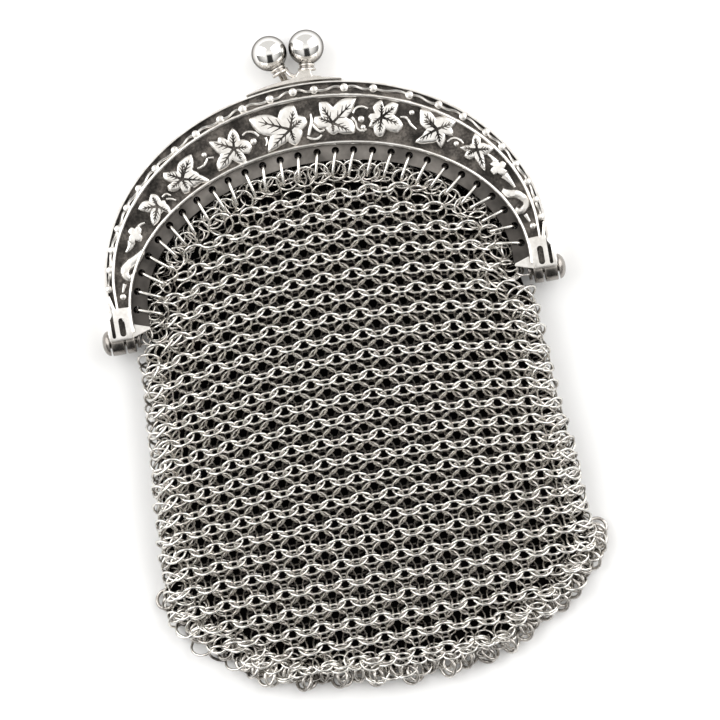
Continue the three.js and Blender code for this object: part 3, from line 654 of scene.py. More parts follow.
def even_angles(line, count):
    """Angles along a line at equal distances."""
    samples = 600
    lengths = [0.0]
    for step in range(1, samples + 1):
        reach = line(math.pi * step / samples) - line(math.pi * (step - 1) / samples)
        lengths.append(lengths[-1] + reach.length)
    angles = []
    for place in range(count):
        wanted = lengths[-1] * (place + 0.5) / count
        step = next(index for index, length in enumerate(lengths) if length >= wanted)
        angles.append(math.pi * step / samples)
    return angles


hole_places = []
for angle in even_angles(hole_line, HOLE_COUNT):
    along = (hole_line(angle + 0.01) - hole_line(angle - 0.01)).normalized()
    hole_places.append((hole_line(angle), Vector((-along.y, along.x))))


def hole_cutter():
    deselect()
    bpy.ops.mesh.primitive_cylinder_add(vertices=20, radius=HOLE_RADIUS * MM, depth=3 * MM)
    pattern_piece = bpy.context.object
    edit(pattern_piece, (bpy.ops.mesh.quads_convert_to_tris, {}))
    pattern = pattern_of(pattern_piece)
    middle = (FLANGE_TOP + FLANGE_BOTTOM) / 2
    frames = [Matrix.Translation(at(place.x, place.y, middle)) for place, inward in hole_places]
    return strew("hole_cutter", pattern, frames, GROUND)


def bar(name, radius, length, place, turn, edge, material, sides=36):
    """A round bar with rounded rims, its length along z before its turn."""
    deselect()
    bpy.ops.mesh.primitive_cylinder_add(
        vertices=sides, radius=radius * MM, depth=length * MM, location=place, rotation=turn
    )
    return smooth(rounded(settle(added(name, material)), edge))


def barrel(name, radius, low, high, side, edge, material, sides=36):
    """A round bar along the hinge axis on one side."""
    place = at(side * (low + high) / 2, 0.0, HINGE_Z)
    return bar(name, radius, high - low, place, (0.0, math.pi / 2, 0.0), edge, material, sides)


def block_outline(side):
    right = [
        (BLOCK_INNER, BLOCK_LIP), (BLOCK_HALF, BLOCK_LIP), (BLOCK_HALF + 0.1, 1.6), (BLOCK_HALF - 0.15, 2.9),
        (HALF_WIDTH - 0.3, 4.1), (HALF_WIDTH - 0.5, 5.2), (HALF_WIDTH - 0.2, 6.3), (HALF_WIDTH, 7.2),
        (HALF_WIDTH - 0.5, 7.2), (HALF_WIDTH - 1.0, 5.1), (BLOCK_INNER - 0.25, 5.0),
    ]
    return [(side * x, y) for x, y in right]


def slot_outline(x, y, width, length):
    radius = width / 2
    steps = 7
    points = []
    for step in range(steps + 1):
        angle = math.pi * step / steps
        points.append((x + radius * math.cos(angle), y + length / 2 - radius + radius * math.sin(angle)))
    return points + [(2 * x - px, 2 * y - py) for px, py in points]


def end_block(side, is_front):
    block = plate("end_block", block_outline(side), PARTING, FRAME_DEPTH - 0.02, 0.12, SILVER)
    if is_front:
        block.data.materials.append(GROUND)
        slots = [
            slot_outline(side * (BLOCK_HALF - 2.25), 2.1, 0.95, 2.9),
            slot_outline(side * (BLOCK_HALF - 0.8), 2.7, 0.55, 4.3),
        ]
        for slot_shape in slots:
            carve(block, plate("slot", slot_shape, FRAME_DEPTH - 0.7, FRAME_DEPTH + 1, 0.0, GROUND))
    return smooth(block)


def foot_of_flange(side):
    foot = flange_inner(-FOOT_ANGLE)
    points = [
        (BLOCK_INNER + 0.2, BLOCK_LIP), (BLOCK_INNER - 2.2, BLOCK_LIP + 0.75), (foot.x, foot.y - 0.2),
        (foot.x + 0.1, foot.y + 0.2), (BLOCK_INNER + 0.2, foot.y + 1.2),
    ]
    outline = [(side * x, y) for x, y in points]
    return plate("flange_foot", outline, FLANGE_BOTTOM, FLANGE_TOP + 0.02, 0.08, SILVER)


OUTER_KNUCKLE = (33.0, 35.0)
INNER_KNUCKLE = (31.3, 32.7)


def frame_half(name, section, knuckle, is_front):
    arch = sweep(name, section, (SILVER, GROUND, FLANGE_METAL))
    arch = smooth(carve(arch, hole_cutter()))
    parts = [arch]
    for side in (1, -1):
        parts.append(end_block(side, is_front))
        parts.append(foot_of_flange(side))
        parts.append(barrel("knuckle", KNUCKLE_RADIUS, knuckle[0], knuckle[1], side, 0.15, HINGE_METAL))
    return join(name, *parts)


# Ornament of the front


def band_place(inner, outer, degrees, across):
    angle = math.radians(degrees)
    return inner(angle).lerp(outer(angle), across)


# An ivy leaf's outline: its hub and the points of each lobe, which end at a notch. All are in mm.
ivy_outlines = [
    {"hub": (-24.22, 19.58), "lobes": [
        [(-24.9, 21.7), (-24.15, 21.5), (-23.7, 20.9), (-23.55, 20.4)],
        [(-22.9, 20.3), (-22.8, 19.8), (-22.3, 18.1), (-23.4, 18.6), (-23.9, 18.3)],
        [(-24.2, 17.5), (-25.4, 16.6), (-25.7, 17.6), (-25.5, 18.7)],
        [(-26.4, 19.1), (-27.4, 19.6), (-26.4, 20.7), (-25.4, 20.7)],
    ]},
    {"hub": (-19.79, 23.06), "lobes": [
        [(-17.7, 26.7), (-17.5, 25.5), (-17.9, 24.2)],
        [(-16.9, 23.3), (-15.4, 22.0), (-17.1, 21.9), (-18.2, 21.4), (-18.6, 21.7)],
        [(-19.0, 20.8), (-19.9, 20.7), (-20.3, 21.7)],
        [(-21.2, 21.3), (-22.2, 21.6), (-22.3, 22.4), (-21.5, 22.8)],
        [(-22.7, 23.6), (-22.6, 24.6), (-21.5, 24.5), (-20.4, 24.4)],
        [(-20.0, 25.6), (-19.1, 26.2)],
    ]},
    {"hub": (-11.1, 26.4), "lobes": [
        [(-10.8, 29.6), (-10.1, 28.7), (-9.9, 27.6)],
        [(-8.7, 27.2), (-8.2, 26.1), (-9.0, 25.1), (-9.8, 25.4)],
        [(-9.4, 24.2), (-10.0, 23.7), (-10.95, 24.0), (-11.6, 24.6)],
        [(-12.7, 23.6), (-14.1, 23.2), (-14.3, 24.3), (-13.4, 25.7)],
        [(-14.3, 26.8), (-15.0, 28.2), (-13.5, 27.9), (-13.2, 28.6), (-12.5, 28.4), (-11.9, 27.8)],
    ]},
    {"hub": (-2.04, 27.75), "lobes": [
        [(-6.95, 28.0), (-8.3, 30.45), (-4.9, 30.65), (-3.7, 29.9)],
        [(-3.1, 31.05), (-1.9, 31.5), (-0.8, 31.4), (-0.5, 29.8)],
        [(0.6, 29.3), (0.8, 28.4), (-0.2, 27.4)],
        [(-0.25, 26.6), (-0.65, 26.0), (-1.65, 25.1), (-2.75, 26.0)],
        [(-3.9, 25.5), (-6.1, 24.8), (-5.85, 26.1), (-5.3, 27.2)],
    ]},
    {"hub": (4.56, 27.65), "lobes": [
        [(2.8, 30.2), (3.0, 31.25), (4.2, 31.1), (5.05, 30.1)],
        [(6.4, 31.0), (8.9, 30.8), (8.3, 29.7), (7.7, 28.8), (6.9, 28.1)],
        [(7.65, 27.5), (7.95, 26.4), (7.75, 25.5), (6.55, 25.5), (5.2, 26.0)],
        [(4.35, 25.75), (3.55, 26.4), (3.3, 27.0)],
        [(2.15, 27.3), (1.65, 28.2), (1.95, 29.1), (2.9, 29.1)],
    ]},
    {"hub": (12.16, 27.25), "lobes": [
        [(11.05, 29.1), (11.85, 29.75), (12.65, 29.9), (12.85, 28.8)],
        [(14.35, 29.3), (15.15, 28.8), (14.2, 27.2)],
        [(15.35, 25.3), (14.25, 24.4), (12.5, 25.3)],
        [(11.75, 24.25), (11.15, 24.25), (10.55, 24.85), (10.6, 25.8)],
        [(9.85, 26.05), (10.35, 26.9), (10.05, 27.7), (10.55, 28.15), (11.2, 28.0)],
    ]},
    {"hub": (20.24, 23.95), "lobes": [
        [(18.2, 27.5), (19.6, 27.0), (20.3, 25.8)],
        [(21.6, 25.7), (23.5, 24.6), (22.6, 23.8), (22.8, 23.0), (22.5, 22.5), (21.4, 22.9)],
        [(21.2, 21.9), (20.4, 20.9), (19.8, 22.0)],
        [(18.5, 22.0), (16.4, 22.6), (17.8, 23.4), (18.6, 24.2)],
        [(17.8, 25.1), (17.9, 26.3)],
    ]},
    {"hub": (25.79, 19.78), "lobes": [
        [(25.8, 22.3), (26.7, 21.6), (26.6, 20.8)],
        [(27.5, 20.4), (28.5, 19.5), (27.5, 18.9), (26.7, 18.7)],
        [(26.7, 17.7), (26.5, 16.2), (25.6, 17.7), (25.2, 18.6)],
        [(24.3, 18.5), (23.6, 19.1), (24.1, 19.8)],
        [(23.1, 20.6), (24.7, 20.7), (25.2, 21.0)],
    ]},
]
# Buds are small leaves with three short lobes and a stalk's end
bud_outline = [[(1.5, 0.3), (1.2, 1.2), (0.6, 0.8)], [(0.1, 1.5), (-0.8, 1.1), (-0.7, 0.4)],
               [(-1.5, -0.5), (-1.0, -1.3), (-0.4, -0.8)], [(0.3, -1.5), (1.0, -1.0), (0.9, -0.4)]]


def leaf_shape(outline, hub=None, turn=0, size=1):
    """A leaf's hub and the directions and reaches of its outline and of its lobes' tips."""
    edge, tips = [], []
    for lobe in outline["lobes"]:
        spokes = []
        for x, y in lobe:
            dx, dy = x - outline["hub"][0], y - outline["hub"][1]
            spokes.append(((math.degrees(math.atan2(dy, dx)) + turn) % 360, math.hypot(dx, dy) * size))
        edge.extend(spokes)
        tips.append(max(spokes, key=lambda spoke: spoke[1]))
    edge.sort()
    return {"hub": hub or outline["hub"], "lobes": edge, "tips": tips}


leaves = [leaf_shape(outline) for outline in ivy_outlines]
bud_shape = {"hub": (0.0, 0.0), "lobes": bud_outline}
leaves.append(leaf_shape(bud_shape, (-28.4, 15.8), 20, 0.92))
leaves.append(leaf_shape(bud_shape, (28.6, 16.4), 100, 0.92))
for bud in leaves[-2:]:
    bud["tips"] = []
LEAF_DIRECTIONS = 120
LEAF_RINGS = 9
LEAF_BASE = FACE - 0.15
LEAF_HEIGHT = 0.78


def lobe_reach(direction, lobes):
    """How far the leaf reaches in a direction, between its outline's points."""
    directions, reaches = zip(*lobes)
    return float(np.interp(direction, directions, reaches, period=360))


def leaf_crown(share):
    """A leaf's height at a share of the way from its hub to its edge."""
    return LEAF_BASE + LEAF_HEIGHT * (1 - 0.07 * share**2 - 0.5 * share**16)


def leaf(hub, lobes):
    """A domed leaf: a grid bent into rings round its hub, as wide as its lobes reach."""
    deselect()
    bpy.ops.mesh.primitive_grid_add(x_subdivisions=LEAF_DIRECTIONS, y_subdivisions=LEAF_RINGS, size=1.0)
    piece = added("ivy_leaf", SILVER)
    places = []
    for ring in range(LEAF_RINGS + 1):
        share = math.sin(math.pi / 2 * ring / LEAF_RINGS) if ring < LEAF_RINGS else 1.0
        for step in range(LEAF_DIRECTIONS + 1):
            degrees = 360 * step / LEAF_DIRECTIONS
            reach = lobe_reach(degrees, lobes)
            angle = math.radians(degrees)
            height = leaf_crown(share) if ring < LEAF_RINGS else LEAF_BASE
            x = hub[0] + reach * share * math.cos(angle)
            y = hub[1] + reach * share * math.sin(angle)
            places.append(at(x, y, height))
    shape(piece, places)
    return smooth(closed(piece, 0.002), 50.0)


def needle_pattern():
    """A slim six-sided needle of unit length along x, for the leaves' veins."""
    deselect()
    turn = (0, math.pi / 2, 0)
    bpy.ops.mesh.primitive_cone_add(vertices=6, radius1=0.5, radius2=0.12, depth=1.0, rotation=turn)
    piece = settle(bpy.context.object)
    edit(piece, (bpy.ops.mesh.quads_convert_to_tris, {"ngon_method": "BEAUTY"}))
    return pattern_of(piece)


VEIN_WIDTH = 0.46
VEIN_LIFT = 0.04


def leaf_height(hub, lobes, x, y):
    direction = math.degrees(math.atan2(y - hub[1], x - hub[0]))
    share = min(math.hypot(x - hub[0], y - hub[1]) / lobe_reach(direction, lobes), 1.0)
    return leaf_crown(share)


def vein_frames(hub, lobes, tips, chance):
    """Frames of the dark veins: one along each lobe and three pairs of branches on it."""
    frames = []

    def needle(start, direction, length, width):
        angle = math.radians(direction)
        end = (start[0] + length * math.cos(angle), start[1] + length * math.sin(angle))
        first = at(*start, leaf_height(hub, lobes, *start) + VEIN_LIFT)
        last = at(*end, leaf_height(hub, lobes, *end) + VEIN_LIFT)
        run = last - first
        matrix = oriented((first + last) / 2, run, Vector((0, 0, 1)))
        frames.append(matrix @ Matrix.Diagonal((run.length, width * MM, 0.1 * MM, 1)))

    for direction, reach in tips:
        length = reach * 0.74
        needle(hub, direction, length, VEIN_WIDTH)
        for share, turn in ((0.28, 42), (0.5, 38), (0.72, 34)):
            for side in (1, -1):
                angle = math.radians(direction)
                start = (hub[0] + length * share * math.cos(angle), hub[1] + length * share * math.sin(angle))
                branch = length * (0.44 - 0.3 * share) * chance.uniform(0.8, 1.2)
                needle(start, direction + side * turn, branch, VEIN_WIDTH * 0.55)
    return frames


# The raised tendrils, hooks and stems: places and the bar's radius at each, in mm
tendrils = [
    [(-9.5, 28.1, 0.14), (-8.7, 28.5, 0.2), (-7.7, 28.3, 0.2), (-7.0, 27.6, 0.16)],
    [(-6.0, 27.2, 0.2), (-5.9, 26.4, 0.16), (-6.2, 25.9, 0.1)],
    [(1.45, 29.6, 0.12), (1.4, 28.4, 0.24), (1.0, 27.4, 0.28), (0.6, 26.4, 0.2)],
    [(1.5, 28.0, 0.16), (1.9, 27.2, 0.24), (2.6, 26.7, 0.22), (3.2, 26.9, 0.14)],
    [(0.3, 26.2, 0.14), (1.0, 25.8, 0.2), (1.9, 25.7, 0.2), (2.6, 26.1, 0.14)],
    [(7.9, 28.6, 0.18), (8.5, 29.3, 0.2), (9.4, 29.4, 0.2), (10.3, 28.9, 0.14)],
    [(7.6, 28.0, 0.2), (8.1, 27.2, 0.18), (8.2, 26.2, 0.18), (8.8, 25.7, 0.2), (9.6, 25.8, 0.14)],
    [(-26.6, 17.4, 0.16), (-27.4, 17.2, 0.2), (-28.1, 16.6, 0.24)],
    [(-29.1, 14.9, 0.6), (-29.5, 14.1, 0.4), (-30.2, 13.4, 0.16)],
    [(-27.5, 13.3, 0.3), (-28.6, 12.3, 0.6), (-29.9, 11.6, 0.66), (-30.8, 10.8, 0.66),
     (-30.9, 9.9, 0.6), (-30.3, 9.4, 0.48), (-29.7, 9.7, 0.34)],
    [(-17.2, 24.25, 0.14), (-16.25, 24.5, 0.22), (-15.65, 25.1, 0.2), (-15.4, 25.6, 0.14)],
    [(-15.3, 25.6, 0.14), (-14.4, 25.5, 0.16)],
    [(-23.3, 20.85, 0.14), (-22.65, 21.2, 0.2), (-21.9, 20.85, 0.12)],
    [(-22.75, 20.45, 0.14), (-22.0, 20.35, 0.18), (-21.25, 20.0, 0.12)],
    [(15.0, 26.8, 0.12), (15.9, 26.5, 0.22), (16.4, 25.4, 0.2), (17.1, 24.5, 0.14)],
    [(21.5, 21.8, 0.14), (22.6, 22.2, 0.18), (23.5, 21.7, 0.18), (23.9, 21.1, 0.12)],
    [(-31.25, 8.6, 0.3), (-31.75, 7.4, 0.16)],
    [(27.2, 19.0, 0.14), (27.9, 18.2, 0.24), (28.5, 17.3, 0.4)],
    [(29.3, 15.3, 0.6), (29.9, 14.4, 0.38), (30.6, 13.1, 0.14)],
    [(28.6, 13.0, 0.3), (29.5, 12.3, 0.6), (30.5, 12.1, 0.6), (31.4, 11.45, 0.56),
     (31.9, 10.5, 0.52), (31.4, 9.6, 0.5), (30.6, 9.35, 0.44), (30.1, 9.8, 0.3)],
    [(31.45, 8.7, 0.3), (31.95, 7.5, 0.16)],
]
# Small domed fruits: place and radius in mm
berries = [
    (-7.95, 26.9, 0.46), (9.0, 27.5, 0.46), (9.1, 26.2, 0.36), (-15.8, 26.15, 0.38), (16.85, 27.15, 0.38),
    (22.8, 21.25, 0.38), (-31.85, 6.7, 0.44), (32.3, 6.75, 0.44),
]
# Knobs of the outer band's vine: degrees along the arch and share across the band
vine_knobs = [
    (177.4, 0.79), (171, 0.39), (164.3, 0.41), (157, 0.31), (149.7, 0.30), (142.6, 0.26), (134.8, 0.22),
    (127, 0.22), (119.6, 0.25), (111.8, 0.28), (105.2, 0.32), (97.5, 0.37), (91.2, 0.51), (85.6, 0.45),
    (77.6, 0.52), (69.8, 0.6), (59.8, 0.6), (51.2, 0.62), (43.3, 0.66), (35, 0.66), (28.4, 0.62),
    (21.4, 0.52), (14.5, 0.6), (8, 0.6), (2, 0.7),
]
KNOB_RADIUS = 0.7
KNOB_SHIFT = 0.08
STEM_RADIUS = 0.26
TENDRIL_SWELL = 1.25
TENDRIL_HEIGHT = 0.4
TENDRIL_PRESS = 0.28


def dome_pattern():
    deselect()
    bpy.ops.mesh.primitive_uv_sphere_add(segments=16, ring_count=8, radius=1.0)
    piece = bpy.context.object
    places = [vertex.co for vertex in piece.data.vertices]
    shape(piece, [(x, y, math.copysign(abs(z) ** 0.45, z)) for x, y, z in places])
    edit(piece, (bpy.ops.mesh.quads_convert_to_tris, {}))
    return pattern_of(piece)


def band_height(share):
    """Height of the outer band's sloping ground at a share from its inner to its outer edge."""
    return FACE - BEVEL * share


def flattened(place):
    """Presses a tendril's top down, so that it is broad and low."""
    low = FACE * MM
    height = low + TENDRIL_HEIGHT * MM * math.tanh((place.z - low) / (TENDRIL_PRESS * MM))
    return Vector((place.x, place.y, height))


def ornament(chance):
    parts = [leaf(entry["hub"], entry["lobes"]) for entry in leaves]
    for tendril in tendrils:
        route = [at(x, y, FACE + 0.1) for x, y, radius in tendril]
        piece = tube("tendril", route, [TENDRIL_SWELL * radius for x, y, radius in tendril], SILVER)
        shape(piece, [flattened(vertex.co) for vertex in piece.data.vertices])
        parts.append(piece)
    domes = []
    for x, y, radius in berries:
        size = Matrix.Diagonal((1.2 * radius * MM, 1.2 * radius * MM, 0.5 * MM, 1))
        domes.append(Matrix.Translation(at(x, y, FACE)) @ size)
    for degrees, across in vine_knobs:
        across -= KNOB_SHIFT * abs(math.cos(math.radians(degrees)))
        place = band_place(rib_one_outer, rim_inner, degrees, across)
        squeeze = 0.88 + 0.12 * math.sin(math.radians(degrees))
        size = Matrix.Diagonal((KNOB_RADIUS * squeeze * MM, KNOB_RADIUS * squeeze * MM, 0.45 * MM, 1))
        domes.append(Matrix.Translation(at(place.x, place.y, band_height(across))) @ size)
    parts.append(strew("knobs", dome_pattern(), domes, SILVER))
    for index, (degrees, across) in enumerate(vine_knobs[:-1]):
        next_degrees, next_across = vine_knobs[index + 1]
        swing = 0.13 if index % 2 == 0 else -0.13
        route = []
        for share, sway in ((0.0, 0.0), (0.3, swing), (0.7, -swing), (1.0, 0.0)):
            middle = across + (next_across - across) * share
            lifted = min(max(middle + sway, 0.12), 0.88)
            place = band_place(rib_one_outer, rim_inner, degrees + (next_degrees - degrees) * share, lifted)
            route.append(at(place.x, place.y, band_height(lifted) + 0.16))
        parts.append(tube("vine_stem", route, [STEM_RADIUS] * 4, SILVER))
    relief = join("ivy_relief", *parts)
    veins = []
    for entry in leaves:
        veins.extend(vein_frames(entry["hub"], entry["lobes"], entry["tips"], chance))
    return relief, strew("leaf_veins", needle_pattern(), veins, VEIN_SHADE)


# Hinge pins and clasp


HEAD_SEAT = BLOCK_HALF + 0.3
SHAFT_RADIUS = 0.8
SHAFT_START = 30.6
WASHER_RADIUS = 1.45
WASHER_START = 30.5
WASHER_THICKNESS = 0.5


def rivet(name, side):
    """A hinge pin on one side: its domed head, shaft and washer."""
    deselect()
    bpy.ops.mesh.primitive_uv_sphere_add(
        segments=40,
        ring_count=20,
        radius=1.0,
        location=at(side * HEAD_SEAT, 0.0, HINGE_Z),
        rotation=(0.0, math.pi / 2, 0.0),
        scale=(PIN_HEAD_RADIUS * MM, PIN_HEAD_RADIUS * MM, PIN_HEAD_HEIGHT * MM),
    )
    head = settle(added(name, HINGE_METAL))
    cut = {
        "plane_co": at(side * HEAD_SEAT, 0.0, 0.0),
        "plane_no": (side, 0.0, 0.0),
        "clear_inner": True,
        "use_fill": True,
    }
    edit(head, (bpy.ops.mesh.bisect, cut))
    smooth(head)
    shaft = barrel("shaft", SHAFT_RADIUS, SHAFT_START, BLOCK_HALF + 0.4, side, 0.05, HINGE_METAL, sides=20)
    washer_end = WASHER_START + WASHER_THICKNESS
    washer = barrel("washer", WASHER_RADIUS, WASHER_START, washer_end, side, 0.15, HINGE_METAL)
    return join(name, head, shaft, washer)


def arch_top(x):
    return OUTER_SPRING + (FRAME_TOP - OUTER_SPRING) * math.sqrt(1 - (x / HALF_WIDTH) ** 2)


SADDLE_LENGTH = 15.0
SADDLE_THICKNESS = 0.5


def saddle(low, high):
    """The long curved plate that a clasp's stem stands on."""
    steps = 14
    inner, outer = [], []
    for step in range(steps + 1):
        x = BALL_MIDDLE + SADDLE_LENGTH * (step / steps - 0.5)
        foot = arch_top(x) + 0.15
        inner.append((x, foot))
        outer.insert(0, (x, foot + 0.14 + SADDLE_THICKNESS * math.sin(math.pi * step / steps)))
    return plate("saddle", inner + outer, low, high, 0.1, CLASP_SILVER)


def ball(x):
    deselect()
    bpy.ops.mesh.primitive_uv_sphere_add(
        segments=64, ring_count=32, radius=BALL_RADIUS * MM, location=at(x, BALL_HEIGHT, HINGE_Z)
    )
    return smooth(settle(added("ball", POLISHED)), 60.0)


# Radius, half thickness, shift along the stem and metal of a collar's parts
collar_rings = (
    (1.3, 0.22, 0.38, CLASP_SILVER), (1.42, 0.24, -0.36, CLASP_SILVER), (1.15, 0.4, 0.0, HINGE_METAL)
)
COLLAR_EDGE = 0.2


def collar(x, y, tilt):
    """A moulded collar of two rings and a neck below a ball."""
    turn = (Matrix.Rotation(tilt, 4, "Z") @ Matrix.Rotation(math.pi / 2, 4, "X")).to_euler()
    parts = []
    for radius, thick, shift, material in collar_rings:
        centre = at(x - shift * math.sin(tilt), y + shift * math.cos(tilt), HINGE_Z)
        parts.append(bar("collar_ring", radius, 2 * thick, centre, turn, COLLAR_EDGE, material))
    return parts


def front_clasp():
    x = BALL_MIDDLE + BALL_RADIUS + 0.15
    flare = [
        (-3.6, 34.95), (-1.2, 35.4), (0.1, 35.9), (0.75, 36.6), (2.65, 36.6), (2.65, 36.0), (2.8, 35.5),
        (4.2, 35.2), (4.2, 34.55), (-3.6, 34.55),
    ]
    low, high = HINGE_Z + 0.3, FRAME_DEPTH - 0.5
    foot = plate("flare", flare, HINGE_Z + 0.4, HINGE_Z + 2.0, 0.45, CLASP_SILVER)
    parts = [ball(x), saddle(low, high), foot]
    stem = [at(1.7, 35.4, HINGE_Z + 1.1), at(1.75, 36.4, HINGE_Z + 0.3), at(1.95, 37.9, HINGE_Z - 0.2)]
    parts.append(tube("stem", stem, [0.9, 0.75, 0.8], CLASP_SILVER, 16))
    return join("front_kiss_ball", *parts, *collar(x - 0.41, BALL_HEIGHT - 3.06, -0.13))


def back_clasp():
    x = BALL_MIDDLE - BALL_RADIUS - 0.15
    low, high = 0.5, HINGE_Z - 0.3
    parts = [ball(x), saddle(low, high)]
    arms = [
        [at(-1.7, 34.9, 2.2), at(-2.0, 35.9, 3.0), at(-2.3, 36.7, HINGE_Z)],
        [at(-1.1, 35.2, 2.4), at(-1.4, 36.0, 3.4), at(-1.7, 36.8, HINGE_Z + 0.4)],
        [at(-1.2, 37.3, HINGE_Z + 0.6), at(-0.7, 36.3, HINGE_Z + 1.2), at(0.1, 35.95, HINGE_Z + 1.2),
         at(0.9, 36.4, HINGE_Z + 0.9)],
    ]
    for index, arm in enumerate(arms):
        parts.append(tube("arm", arm, [0.34, 0.3, 0.3, 0.26][: len(arm)], CLASP_SILVER, 12))
    return join("back_kiss_ball", *parts, *collar(x + 1.08, BALL_HEIGHT - 2.9, 0.36))


# The bag's surface


# Shares down the bag, with its middle's height and half its depth as shares of BAG_DEPTH
bag_rows = [
    (0.0, 0.51, 0.37), (0.12, 0.5, 0.45), (0.3, 0.5, 0.5),
    (0.7, 0.48, 0.48), (0.88, 0.36, 0.36), (1.0, 0.154, 0.154),
]


def bag_row(down):
    """The middle's height and half the depth at a share of the way down."""
    shares, middles, halves = zip(*bag_rows)
    return tuple(BAG_DEPTH * float(np.interp(down, shares, row)) for row in (middles, halves))


def bag_half_width(y):
    share = min(max((-y - MOUTH_FOOT) / 2, 0.0), 1.0)
    neck = share * share * (3 - 2 * share)
    spread = min(max((-y - MOUTH_FOOT - 2) / (BAG_CORNER - MOUTH_FOOT - 2), 0.0), 1.0)
    wide = SHOULDER_HALF + (BAG_HALF - SHOULDER_HALF) * spread
    return MOUTH_HALF + (wide - MOUTH_HALF) * neck


def bag_place(x, y):
    """Where a place lies on the bag: its share down, its rise across and the front and back heights."""
    across = min(abs(x) / bag_half_width(y), 0.9995)
    rise = math.sqrt(1 - across * across)
    top = -MOUTH_FOOT + MOUTH_RISE * rise
    bottom = -BAG_CORNER - BAG_DROP * rise
    down = (top - y) / (top - bottom)
    middle, half = bag_row(down)
    depth = half * rise**ROUNDNESS
    return down, top, bottom, middle + depth, middle - depth


def surface_height(x, y, facing):
    down, top, bottom, front, back = bag_place(x, y)
    return front if facing > 0 else back


def surface_frame(x, y, facing, inset):
    """A ring's place under the bag's skin and the skin's own up there."""
    step = 0.3
    slope_x = (surface_height(x + step, y, facing) - surface_height(x - step, y, facing)) / (2 * step)
    slope_y = (surface_height(x, y + step, facing) - surface_height(x, y - step, facing)) / (2 * step)
    slope_x = min(max(slope_x, -0.15), 0.15)
    slope_y = min(max(slope_y, -0.12), 0.12)
    normal = Vector((-slope_x, -slope_y, 1.0)).normalized()
    height = surface_height(x, y, facing)
    return Vector((x, y, height - facing * inset)), normal * facing


def outline_room(x, y):
    """Distance from a place to the bag's edge: its mouth, side or seam, whichever is nearest."""
    if abs(x) >= bag_half_width(y):
        return -1.0
    down, top, bottom, front, back = bag_place(x, y)
    return min(bag_half_width(y) - abs(x), top - y, (y - bottom) * 0.9)


# Where the weave starts, how far every second column hangs lower, and how deep each layer lies
COLUMNS = range(-15, 16)
ROWS = range(-12, 18)
COLUMN_X = -1.0
ROW_Y = -24.54
B_DROP = 1.72
FRONT_INSET = 0.85
BACK_INSET = 1.45
SECOND_INSET = 2.75
SECOND_SHIFT = 1.24
SECOND_DROP = 1.72

# Within this distance of a side the columns crowd and roll over
EDGE = 3.2
EDGE_ROLL = math.radians(62)


def turned_in(x0, y):
    """A column's place and roll: near the sides the columns crowd and turn with the bag's edge."""
    start = bag_half_width(y) - EDGE
    over = max((abs(x0) - start) / EDGE, 0.0)
    if over == 0.0:
        return x0, 0.0, 0.0
    squeeze = 1 - math.exp(-over)
    return math.copysign(start + EDGE * squeeze, x0), math.copysign(EDGE_ROLL * min(over / 2, 1.0), x0), over


# The rows arch: this far at this distance from the middle, less towards the bottom
ROW_ARCH = 2.6
ARCH_HALF = 26.0


def row_arch(x, y):
    """How far a row hangs down beside the middle, and the turn of its rings there."""
    share = min(max((y + 42) / 32, 0.15), 1.0)
    return ROW_ARCH * share * (x / ARCH_HALF) ** 2, -2 * ROW_ARCH * share * x / ARCH_HALF**2


def weave(facing, inset, row_shift, b_drop, is_turned, chance, room):
    """Frames of a panel's rings: upright columns whose rings lean to and fro in turn."""
    frames = []
    for column in COLUMNS:
        is_b = column % 2 == 1
        for row in ROWS:
            y0 = ROW_Y + row_shift + row * ROW_PITCH - (b_drop if is_b else 0.0)
            droop, turn = row_arch(COLUMN_X + column * COLUMN_PITCH, y0)
            y0 -= droop
            x0, edge_roll, over = turned_in(COLUMN_X + column * COLUMN_PITCH, y0)
            free = outline_room(x0, y0)
            if over > 2.3 or bag_half_width(y0) - abs(x0) < 0.3 + room / 2:
                continue
            down, top, bottom, front, back = bag_place(x0, y0)
            if top - y0 < room or y0 - bottom < room - 1.1:
                continue
            unrest = 0.12 + 0.4 * max(0.0, 1 - max(free, 0.0) / 5.0) ** 1.5
            x = x0 + chance.gauss(0, 0.26) * unrest
            y = y0 + chance.gauss(0, 0.3) * unrest
            centre, up = surface_frame(x, y, facing, min(inset, 0.36 * (front - back)))
            lean = RING_TILT * (1 if is_b == is_turned else -1) * facing
            lean += chance.gauss(0, 0.2) * unrest
            roll = edge_roll + chance.gauss(0, 0.25) * unrest
            frames.append(
                oriented(at(*centre), Vector((facing, facing * turn, 0)), up)
                @ Matrix.Rotation(roll * facing, 4, "Y")
                @ Matrix.Rotation(lean * -1, 4, "X")
            )
    return frames


def mouth_rings(facing, chance):
    """The row that the loops hold at the bag's mouth."""
    frames = []
    for x, y in mouth_places(1.1, HOLE_COUNT, chance):
        height = surface_height(x * 0.95, y - 2.0, facing) - facing * 0.9
        frames.append(
            oriented(at(x, y, height), Vector((facing, 0, 0)), Vector((0, 0, facing)), 0.86)
            @ Matrix.Rotation(chance.gauss(0.5, 0.12), 4, "X")
            @ Matrix.Rotation(chance.gauss(0, 0.15), 4, "Y")
        )
    return frames


MOUTH_INSET = 15.2


def mouth_places(outset, count, chance):
    """Places along a line beside the bag's mouth."""
    for angle in even_angles(arch_line(HALF_WIDTH - MOUTH_HALF, MOUTH_INSET, INNER_SPRING), count):
        x = (MOUTH_HALF + outset) * math.cos(angle) + chance.uniform(-0.3, 0.3)
        y = -MOUTH_FOOT + (MOUTH_RISE + outset) * math.sin(angle) + chance.uniform(-0.3, 0.3)
        yield x, y


# The rows of small rings between the flange and the weave: outset, count and height
FILL_ROWS = ((3.2, 44, 4.3), (2.0, 48, 4.6), (0.9, 44, 4.9))
FILL_SIZE = 0.72


